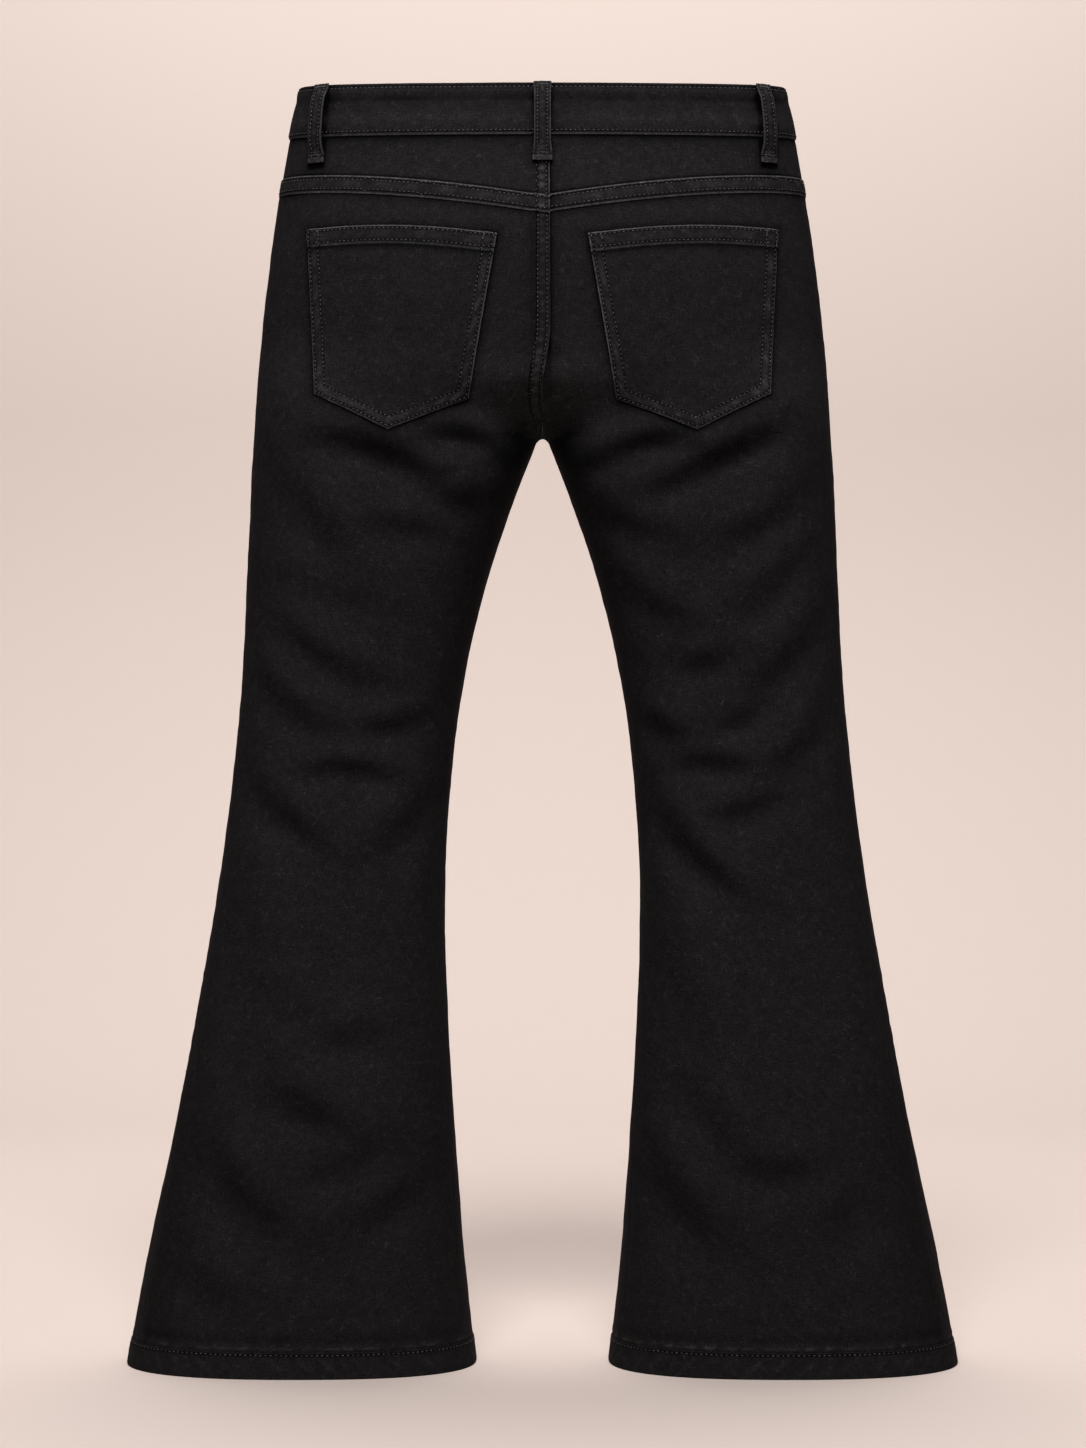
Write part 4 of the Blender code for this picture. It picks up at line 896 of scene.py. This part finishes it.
for side, word in SIDES:
    inner_top, outer_top, outer_low, point, inner_low = POCKET
    tip = (point[0] - inner_low[0]) / (outer_low[0] - inner_low[0])
    u = spread(145 * MM, 0.65 * MM, 2.6 * MM, 13 * MM) / (145 * MM)
    u[np.argmin(np.abs(u - tip))] = tip
    v = spread(130 * MM, 0.65 * MM, 2.6 * MM, 17 * MM) / (130 * MM)
    across, down = np.meshgrid(u, v)
    top = inner_top + (outer_top - inner_top) * across[..., None]
    top[..., 1] += POCKET_ARCH * np.sin(np.pi * across)
    low = inner_low + (outer_low - inner_low) * across[..., None]
    chord = inner_low[1] + (outer_low[1] - inner_low[1]) * tip
    low[..., 1] -= (chord - point[1]) * np.where(across < tip, across / tip, (1 - across) / (1 - tip))
    x, z = np.moveaxis(top + (low - top) * down[..., None], -1, 0)
    points = seat_points(side, x, z)
    from_top = top[..., 1] - z
    sides = np.minimum(edge_distance(x, z, 1, 2), edge_distance(x, z, 4, 0))
    foot = np.minimum(edge_distance(x, z, 2, 3), edge_distance(x, z, 3, 4))
    inset = np.maximum(np.minimum(sides, foot), 0)
    run = x * 1.3 + z
    pucker = seeded_noise(run, 0 * run, 16, 41 + side)
    hem = 1 - smooth(14.2, 15.4, from_top)
    between = bump(inset, 5.4, 2.5) * (0.45 + 0.75 * pucker) * (1 - hem)
    relief = 1.75 + ridges(from_top, (-1.1, 0, 0.8), (-0.32, 2.4, 0.8), (-0.32, 11.6, 0.8),
                           (-0.35, 17.5, 2.4))
    relief += ridges(inset, (-1.25, 0, 0.8), (-0.33, 2, 0.85), (-0.33 * (1 - hem), 8.7, 0.85))
    relief += 0.35 * (1 - smooth(9, 10.8, inset)) + 0.5 * smooth(14, 45, inset) + 0.4 * between
    relief += 0.22 * seeded_noise(x, z, 19, 47 + side)
    relief += hem * (0.75 + 0.25 * pucker * bump(from_top, 7, 3) - 0.28 * bump(sides, 9.8, 0.8))
    # The paler top edge, outline, lumps and corners are wear, with a paler line just above the hem's fold.
    # Painted shade runs along the rows of stitches and the box stitching, with a painted shadow under the
    # hem's fold.
    wear_and_painted_light = ridges(from_top, (0.9, 0.4, 0.5), (-0.7, 2.4, 0.8), (-0.7, 11.6, 0.8), (0.3, 14, 0.8),
                  (-0.5, 15.6, 0.9), (-0.3, 17.5, 2))
    wear_and_painted_light += ridges(inset, (1.0, 0.3, 0.6), (-0.7, 2.1, 0.6), (-0.7 * (1 - hem), 8.7, 0.7))
    wear_and_painted_light += hem * (0.06 * (0.5 + pucker) * bump(from_top, 7, 4) - 0.4 * bump(sides, 9.8, 0.7))
    corner = np.hypot(np.minimum(np.abs(x - inner_low[0]), np.abs(x - outer_low[0])), z - 746 * MM)
    wear_and_painted_light += 0.12 * bump(corner, 12, 7) * (inset < 11 * MM) * np.clip(0.5 + pucker, 0, 1)
    wear_and_painted_light += 0.16 * np.maximum(between, 0)
    patch = cloth_shell(f"back_pocket_{word}", points, grid_normals(points, side), relief * MM, x * side, z,
                        wear_and_painted_light, inner=0.42 * MM, material=SHADED_POCKET_DENIM)
    rows = []
    for inset, end in ((2.0 * MM, 3 * MM), (8.7 * MM, 11.6 * MM)):
        bend, turn = 0.62 * inset, 0.24 * inset
        legs = ((1, 2, end, bend), (2, 3, bend, turn), (3, 4, turn, bend), (4, 0, bend, end))
        rows.append(np.vstack([along(a, b, inset, ends) for a, b, *ends in legs]))
    for depth in (2.4 * MM, 11.6 * MM):
        shares = np.linspace(0.016, 0.984, 60)
        line = inner_top + (outer_top - inner_top) * shares[:, None]
        line[:, 1] += POCKET_ARCH * np.sin(np.pi * shares) - depth
        rows.append(line)
    rows += [along(1, 2, BOX_INSET, (2.4 * MM, 115 * MM), 12),
             along(4, 0, BOX_INSET, (113 * MM, 2.4 * MM), 12)]
    tacks = [along(1, 2, BOX_INSET, (0.4 * MM, 121.5 * MM), 8),
             along(4, 0, BOX_INSET, (119.5 * MM, 0.4 * MM), 8)]
    rows, tacks = ([on_seat(side, line) for line in lines] for lines in (rows, tacks))
    sewn = stitches(f"back_pocket_{word}_stitches", patch, rows, seed=18 + side)
    knots = stitches(f"back_pocket_{word}_tacks", patch, tacks, pitch=0.55 * MM, length=1.2 * MM,
                     width=0.55 * MM, turn=math.pi / 2, seed=20 + side)

# ------------------------------------------------------------------ waistband
# One folded strip, 40 mm high, sewn along both edges. Its left end laps over its right end at the
# centre front. The layers inside it leave a soft hollow above the middle and fuller edges.
# The waistband and belt loops use a darker copy of the denim: painted shade that tones these parts down.
SHADED_BAND_DENIM = denim("waistband_denim", (0.0080, 0.0073, 0.0077), (0.058, 0.055, 0.055), cloud=0.19)
OVERLAP, UNDERLAP = 13 * MM, 30 * MM
BAND_ROWS = (2.2 * MM, 37.7 * MM)
MID_BAND = 970 * MM
fine = np.arange(0, 5, 0.4)
heights = np.concatenate([fine, np.linspace(5, 35.5, 20)[1:-1], 40.5 - fine[::-1]]) * MM
back_length, front_span = length_at("back", MID_BAND), length_at("front", MID_BAND)


def waist_level(face, share, height):
    return waist_top(face, mirrored(share)) - BAND_HEIGHT + height


def band_side(side, past):
    """Half of the waistband from the centre front end to the centre back: points and distances."""
    parts, runs = [], []
    for face, shares, sign in (("front", np.linspace(1 + past / front_span, 0, 96), -1),
                               ("back", np.linspace(0, 1, 92)[1:], 1)):
        z = waist_level(face, shares[None, :], heights[:, None])
        parts.append(on_form(side, z, sign * shares * length_at(face, z)))
        runs.append(np.repeat(sign * shares[None, :] * length_at(face, MID_BAND), len(heights), axis=0))
    return np.hstack(parts), np.hstack(runs)


left_points, left_run = band_side(-1, OVERLAP)
right_points, right_run = band_side(1, UNDERLAP)
points = np.hstack([left_points, right_points[:, -2::-1]])
run = np.hstack([left_run - back_length, back_length - right_run[:, -2::-1]])
height = heights[:, None] + 0 * run
from_left = run - run.min()
rolls = seeded_noise(run, height * 0.6, 60, 61)
pucker = seeded_noise(run, 0 * run, 15, 63)
relief = 1.6 + ridges(height, (-1.3, 0, 0.9), (-1.3, 40.5, 0.9), (-0.3, 2.2, 0.8), (-0.3, 37.7, 0.8),
                      (0.25, 34, 3), (0.3, 14, 8), (-0.55 * (0.9 + 0.5 * rolls), 28.5, 3.2),
                      (0.16 * pucker, 5, 2.5), (0.16 * pucker, 36, 2.5))
relief += 0.18 * rolls - 0.8 * bump(from_left, 0, 0.8)
lift = -3.6 * MM * smooth(16, -6, run.max() - run - UNDERLAP)
inner = lift - (1.6 + ridges(height, (-1.2, 0, 0.9), (-1.2, 40.5, 0.9))) * MM
# The paler lower edge and end are wear. The rest is painted: shade at the top edge, along the rows of
# stitches and in the hollow above the middle, light below that hollow and near the top row, and, through
# near, shadow beside the belt loops.
wear_and_painted_light = ridges(height, (0.95, 0.6, 0.5), (-0.85, 40.6, 1.3), (-0.6, 2.2, 0.7), (-0.6, 37.7, 0.7),
              (-0.42 * (0.9 + 0.5 * rolls), 28, 2.6), (0.06 * (0.8 + 0.6 * rolls), 13, 4.5),
              (0.05 * (0.6 + pucker * 0.4), 34, 2))
wear_and_painted_light += 0.9 * bump(from_left, 0.5, 0.6)
waistband = cloth_shell("waistband", points, grid_normals(points, -1), lift + relief * MM, run, height, wear_and_painted_light,
                        inner=inner, near=beside_loops(points), material=SHADED_BAND_DENIM)
rows = []
for height in BAND_ROWS:
    for side, past in ((-1, OVERLAP - 2.5 * MM), (1, -OVERLAP - 1 * MM)):
        for face, sign, first, last in (("front", -1, 1 + past / front_span, 0.004), ("back", 1, 0, 0.998)):
            shares = np.linspace(first, last, 110)
            level = waist_level(face, shares, height)
            rows.append(over_form(side, level, sign * shares * length_at(face, level)))
end = 1 + (OVERLAP - 2.5 * MM) / front_span
level = waist_level("front", end, np.linspace(*BAND_ROWS, 20))
rows.append(over_form(-1, level, -end * length_at("front", level)))
sewn = stitches("waistband_stitches", waistband, rows, seed=25)

# ------------------------------------------------------------------ belt loops
# Five folded strips, 13.5 mm wide. Each leaves the waistband near its top, stands off for the belt and
# is tucked under and bar tacked below the waist seam, where it stands out most.
HALF_LOOP, LOOP_ROW = 6.75 * MM, 3.5 * MM


def distance_at_x(face, z, at_x):
    """Distance round from the side seam at which the form is at_x from the middle line, at each height."""
    trial = np.linspace(1, 0, 240)
    sign = 1 if face == "back" else -1
    xs = on_form(1, z[:, None], sign * trial * length_at(face, z)[:, None])[..., 0]
    share = np.array([np.interp(want, row, trial) for want, row in zip(at_x, xs)])
    return sign * share * length_at(face, z), share


for word, side, face, at_x, lean in (
    ("centre_back", 1, "back", 0, 0),
    ("back_left", -1, "back", LOOP_SIDE_X, LOOP_SIDE_LEAN),
    ("back_right", 1, "back", LOOP_SIDE_X, LOOP_SIDE_LEAN),
    ("front_left", -1, "front", LOOP_FRONT_X, 0),
    ("front_right", 1, "front", LOOP_FRONT_X, 0),
):
    share = distance_at_x(face, np.array([WAIST_SIDE - BAND_HEIGHT / 2]), [at_x])[1][0]
    top = waist_top(face, share)
    ground = 1.9 if at_x == 0 else 0
    # How far the strip stands out and how far below the waistband's top edge, in mm.
    outline = np.array([
        (2.4, -0.9), (2.5, 2), (3.6, 5.5), (5.8, 10), (6.6, 17), (6.7, 26), (6.2, 39.5),
        (4.8 + ground * 0.4, 46.5), (ground + 2.4, 53), (ground + 1.5, 55.5), (ground + 1.4, 61.1),
    ])
    steps = np.linspace(0, 1, 90)
    soft = [np.interp(steps, np.linspace(0, 1, len(outline)), column) for column in outline.T]
    kernel = np.hanning(13) / np.hanning(13).sum()
    soft = np.array([np.convolve(np.pad(c, 6, mode="edge"), kernel, mode="valid") for c in soft])
    soft[:, 0], soft[:, -1] = outline[0], outline[-1]
    out, level = soft[0] * MM, top - soft[1] * MM
    s = distance_at_x(face, level, at_x + lean * (top - level) / LEAN_OVER)[0]
    base = on_form(side, level, s)
    ahead = over_form(side, level, s, 1.0) - base
    normal = ahead.mean(axis=0) * ((0, 1, 0) if at_x == 0 else (1, 1, 0))
    normal /= np.linalg.norm(normal)
    across = np.cross(normal, (0, 0, 1))
    down = (top - level) / (top - level[-1])
    rim = np.linspace(0.72, 1, 6)
    w = np.concatenate([-rim[::-1], np.linspace(-0.72, 0.72, 15)[1:-1], rim])
    half = (6.4 + 0.5 * np.exp(-((down / 0.07) ** 2)) + 1.1 * ease((down - 0.72) / 0.21)) * MM
    middle = base + normal * out[:, None]
    points = middle[:, None, :] + across * (w[None, :, None] * half[:, None, None])
    slope = np.gradient(middle, axis=0)
    facing = np.cross(slope, across)
    facing *= np.sign(facing @ normal)[:, None]
    facing /= np.linalg.norm(facing, axis=1, keepdims=True)
    normals = np.repeat(facing[:, None, :], len(w), axis=1)
    wide = np.abs(w)[None, :] * HALF_LOOP
    length = np.concatenate([[0], np.cumsum(np.linalg.norm(np.diff(middle, axis=0), axis=1))])[:, None]
    past = length - length[-1]
    pucker = seeded_noise(length + 0 * wide, w[None, :] * 4 * MM, 9, 71)
    tail = smooth(-4.9, -4.1, past)
    ends = bump(length, 0, 0.7) + bump(past, 0, 0.7)
    relief = 0.9 + ridges(wide, (-0.6, 6.75, 0.7), (-0.28, 3.5, 0.7), (0.25 + 0.125 * pucker, 0, 2))
    relief += 0.18 * pucker + 0.4 * tail - 0.6 * ends
    # The paler edges are wear, and the ends and tail are paler too. The middle is lighter as a painted
    # highlight on the rounded strip, with painted shade along the rows of stitches and a painted shadow just
    # above the tail.
    wear_and_painted_light = ridges(wide, (0.35, 6.3, 0.5), (0.06 + 0.084 * pucker, 0, 1.6), (0.6 * (tail - 1), 3.5, 0.7))
    wear_and_painted_light += 0.2 * ends + 0.2 * tail - 0.8 * bump(past, -4.7, 0.7)
    inner = (0.5 * ends + 0.5 * bump(wide, 6.75, 0.7) - 0.9) * MM
    strip = cloth_shell(f"belt_loop_{word}", points, normals, relief * MM, w[None, :] * half[:, None] * side,
                        level[:, None], wear_and_painted_light, inner=inner, material=SHADED_BAND_DENIM)
    above = middle + normal * 1.5 * MM
    rows = [(above + across * offset)[3:-8] for offset in (-LOOP_ROW, LOOP_ROW)]
    sewn = stitches(f"belt_loop_{word}_stitches", strip, rows, pitch=3.1 * MM, seed=33)
    tacks = []
    for place in (2.2 * MM, length[-1, 0] - 5.8 * MM):
        k = int(np.argmin(np.abs(length[:, 0] - place)))
        tacks.append(above[k] + across * np.linspace(-4.6, 4.6, 12)[:, None] * MM)
    bars = stitches(f"belt_loop_{word}_tacks", strip, tacks, pitch=0.6 * MM, length=1.1 * MM, width=0.6 * MM,
                    turn=math.pi / 2, seed=36)

# ------------------------------------------------------------------ hems
# Each leg is turned up twice by 20.5 mm and sewn all round with one heavier row. The turned cloth is fed
# unevenly, so small slanting puckers run across it.
# The hems use a darker copy of the denim: painted shade, as the light falls off towards the floor.
SHADED_HEM_DENIM = denim("hem_denim", (0.0072, 0.0066, 0.0070), (0.045, 0.043, 0.043), cloud=0.15)
HEM_ROW = 18.4 * MM
for side, word in SIDES:
    heights = np.concatenate([np.arange(0, 3, 0.35), np.linspace(3, 16.5, 12)[1:-1],
                              np.arange(16.5, 20.51, 0.4)])
    back, front = np.linspace(0, 1, 190), np.linspace(1, 0, 170)[1:-1]
    z = np.repeat(heights[:, None] * MM, len(back) + len(front), axis=1)
    s = np.hstack([back * length_at("back", z[:, :1]), -front * length_at("front", z[:, :1])])
    points = on_form(side, z, s)
    around = np.concatenate([points[:, -1:], points, points[:, :1]], axis=1)
    normals = np.cross(np.gradient(points, axis=0), np.gradient(around, axis=1)[:, 1:-1]) * side
    normals[..., 2] = 0
    normals /= np.linalg.norm(normals, axis=-1, keepdims=True)
    steps = np.linalg.norm(np.diff(points, axis=1), axis=-1)
    run = np.hstack([np.zeros((len(z), 1)), np.cumsum(steps, axis=1)])
    slant = run / run[:, -1:] * 2 * np.pi + z * 9
    pucker = sum(np.sin(slant * k + phase) for k, phase in ((37, 0.4), (53, 1.9), (71, 4.0), (29, 2.2))) / 3
    relief = 0.85 + ridges(z, (-0.85, 0, 0.8), (-0.75, 20.5, 0.8), (-0.4, 18.4, 1), (0.32 * pucker, 10, 6.5))
    # The paler bottom edge is wear and the crests of the puckers are paler; painted shade runs along the row
    # of stitches.
    wear_and_painted_light = ridges(z, (0.15 * (0.7 + 0.3 * pucker), 0.8, 0.8), (0.08 * np.maximum(pucker, 0), 10, 6),
                  (-0.8, 18.4, 1.3))
    turned_up = cloth_shell(f"hem_{word}", points, normals, relief * MM, run * side, z, wear_and_painted_light,
                            inner=(0.6 * bump(z, 0, 0.8) - 2.2) * MM, closed=True, material=SHADED_HEM_DENIM)
    shares = np.linspace(0, 1, 130)
    rows = [over_form(side, HEM_ROW, -SIGN[face] * shares * length_at(face, HEM_ROW), 1.5 * MM)
            for face in SIGN]
    sewn = stitches(f"hem_{word}_stitches", turned_up, rows, pitch=3.9 * MM, length=1.9 * MM, seed=43)

# ------------------------------------------------------------------ front pocket facings
# The denim facing of each pocket bag, which shows in the curved mouth and runs on behind the front.
FACING_LAP = 14 * MM
for side, word in SIDES:
    shares = np.linspace(0, (SCOOP_WIDTH + FACING_LAP) / front_length, 44)[None, :]
    waist = waist_top("front", shares) - BAND_HEIGHT + TUCKED
    z = waist - (SCOOP_DROP + FACING_LAP) * np.linspace(1, 0, 36)[:, None]
    s = SEAM_GAP / 2 + (length_at("front", z) - SEAM_GAP) * shares
    points = on_form(side, z, -s)
    outer = (0.15 * seeded_noise(s, z, 40, 51 + side) - 1.45) * MM
    facing = cloth_shell(f"front_pocket_{word}", points, -grid_normals(points, side), outer, s * side, z,
                         inner=outer - 1.1 * MM)

# ------------------------------------------------------------------ fly shield and zip
# A closed zip on its tape behind the fly, with a denim shield behind it. Both hang from the waist seam.
def fly_strip(inner, outer, foot, count=16):
    """Grid of a strip behind the fly, from outer on the wearer's right to inner on their left."""
    z = np.repeat(np.linspace(foot, 924 * MM, 50)[:, None], count, axis=1)
    s = -length_at("front", z) + np.linspace(-inner, outer, count)
    points = on_form(1, z, s)
    return points, grid_normals(points, 1), s, z


points, normals, s, z = fly_strip(24 * MM, 16 * MM, 778 * MM)
shield = cloth_shell("fly_shield", points, normals, -4.2 * MM, s, z, inner=-5.6 * MM)

TAPE = denim("zip_tape", (0.010, 0.0098, 0.0102), (0.02, 0.02, 0.02), cloud=0.05)
TOOTH_PITCH = 1.3 * MM
points, normals, s, z = fly_strip(12 * MM, 12 * MM, 786 * MM, 41)
middle = np.abs(s + length_at("front", z))
teeth = bump(middle, 0, 2.2) * (0.55 + 0.45 * np.sign(np.sin(z / TOOTH_PITCH * 2 * np.pi)))
tape = cloth_shell("zip", points, normals, (-2.8 + 0.35 * teeth) * MM, s, z, inner=-3.4 * MM, ending="closed",
                   material=TAPE)

# ------------------------------------------------------------------ button
# A plain pressed metal button with a rolled rim and a shallow dished face, riveted to the waistband.
METAL, tree, shader = new_material("button_metal", 0.5, 0.5)
place = node(tree, "ShaderNodeTexCoord").outputs["Object"]
wear = node(tree, "ShaderNodeTexNoise", {"Vector": place, "Scale": 350, "Detail": 3})
feed(shader, {"Roughness": remap(tree, wear, 0, 1, 0.28, 0.5), "Base Color": (0.05, 0.05, 0.052, 1),
              "Metallic": 1.0})
# Radius and height of the rim from its foot to its inner edge, in mm, then the middle of the face.
RIM = [(7.4, 0), (8.3, 0.5), (8.5, 1.3), (8.3, 2.1), (7.7, 2.6), (7.1, 2.5), (6.6, 2.0), (5.6, 1.7)]
BUTTON_BASE, FACE_MIDDLE, BUTTON_TURNS = 2.2, 1.6, 48
level = np.array([waist_top("front", 1.0) - BAND_HEIGHT / 2])
length = length_at("front", level)
centre = on_form(1, level, -length)[0]
normal = over_form(1, level, -length, 1.0)[0] - centre
normal[0] = 0
normal /= np.linalg.norm(normal)
aside, upward = np.array([1.0, 0, 0]), np.cross(normal, (1.0, 0, 0))
verts, faces = [], []
for radius, out in RIM:
    for turn in np.arange(BUTTON_TURNS) * 2 * np.pi / BUTTON_TURNS:
        ring = aside * math.cos(turn) + upward * math.sin(turn)
        verts.append(centre + (ring * radius + normal * (BUTTON_BASE + out)) * MM)
verts += [centre + normal * (BUTTON_BASE + out) * MM for out in (0, FACE_MIDDLE)]
last = (len(RIM) - 1) * BUTTON_TURNS
for i in range(BUTTON_TURNS):
    j = (i + 1) % BUTTON_TURNS
    for k in range(0, last, BUTTON_TURNS):
        faces.append((k + i, k + j, k + BUTTON_TURNS + j, k + BUTTON_TURNS + i))
    faces += [(j, i, len(verts) - 2), (last + i, last + j, len(verts) - 1)]
mesh = bpy.data.meshes.new("button_metal")
mesh.from_pydata([tuple(v) for v in verts], [], faces)
mesh.shade_smooth()
mesh.set_sharp_from_angle(angle=math.radians(50))
finish_piece(linked("button_metal", mesh), "button", METAL)

# ------------------------------------------------------------------ floor, light and camera
# A plain pale floor that runs up into a plain backdrop, soft studio light, and the photo's camera.
stage_paint, tree, shader = new_material("stage_paint", 0.95, 0.1)
feed(shader, {"Base Color": (0.46, 0.398, 0.373, 1)})
FLOOR_FRONT, BEND_START, BEND_RADIUS, BACKDROP_TOP = -0.37, 1.6, 0.9, 4.5
bends = np.linspace(0, math.pi / 2, 12)[1:]
profile = [(FLOOR_FRONT, 0.0), (BEND_START, 0.0)]
profile += [(BEND_START + BEND_RADIUS * math.sin(a), BEND_RADIUS * (1 - math.cos(a))) for a in bends]
profile += [(BEND_START + BEND_RADIUS, BACKDROP_TOP)]
verts = [(x, y, z) for y, z in profile for x in (-5, 5)]
faces = [(2 * i, 2 * i + 1, 2 * i + 3, 2 * i + 2) for i in range(len(profile) - 1)]
mesh = bpy.data.meshes.new("floor")
mesh.from_pydata(verts, [], faces)
mesh.shade_smooth()
mesh.materials.append(stage_paint)
linked("floor", mesh)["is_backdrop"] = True

world = bpy.data.worlds.new("studio")
bpy.context.scene.world = world
world.use_nodes = True
feed(world.node_tree.nodes["Background"], {"Color": (1.0, 0.95, 0.92, 1), "Strength": 0.02})

# Each light's place and target in metres, its size in metres and its power in watts.
MIDDLE = (0, 0, 0.6)
for name, place, target, size, power in (
    ("key", (-0.08, -2.1, 3.2), MIDDLE, 1.5, 172),
    ("fill", (0.2, -3.4, 1.2), MIDDLE, 2.0, 12),
    ("left_fill", (-1.9, -2.9, 0.9), MIDDLE, 1.4, 4),
    ("right_fill", (1.9, -2.9, 0.9), MIDDLE, 1.4, 4),
    ("backdrop", (0, 0.9, 3.4), (0, 2.6, 0.9), 2.4, 138),
):
    light = bpy.data.lights.new(name, "AREA")
    light.shape = "DISK"
    light.size = size
    light.energy = power
    light.color = (1, 0.97, 0.94)
    lamp = linked(name, light)
    lamp.location = place
    lamp.rotation_euler = (Vector(target) - Vector(place)).to_track_quat("-Z", "Y").to_euler()
    lamp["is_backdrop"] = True

camera = bpy.data.cameras.new("camera")
camera.sensor_fit = "VERTICAL"
camera.sensor_height = 36
camera.lens = 95.6
shot = linked("camera", camera)
shot.location = (0.0004, -2.99, 0.535)
shot.rotation_euler = (math.radians(90 - 0.72), 0, 0)
bpy.context.scene.camera = shot
bpy.context.scene.view_settings.view_transform = "Standard"

low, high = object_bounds()
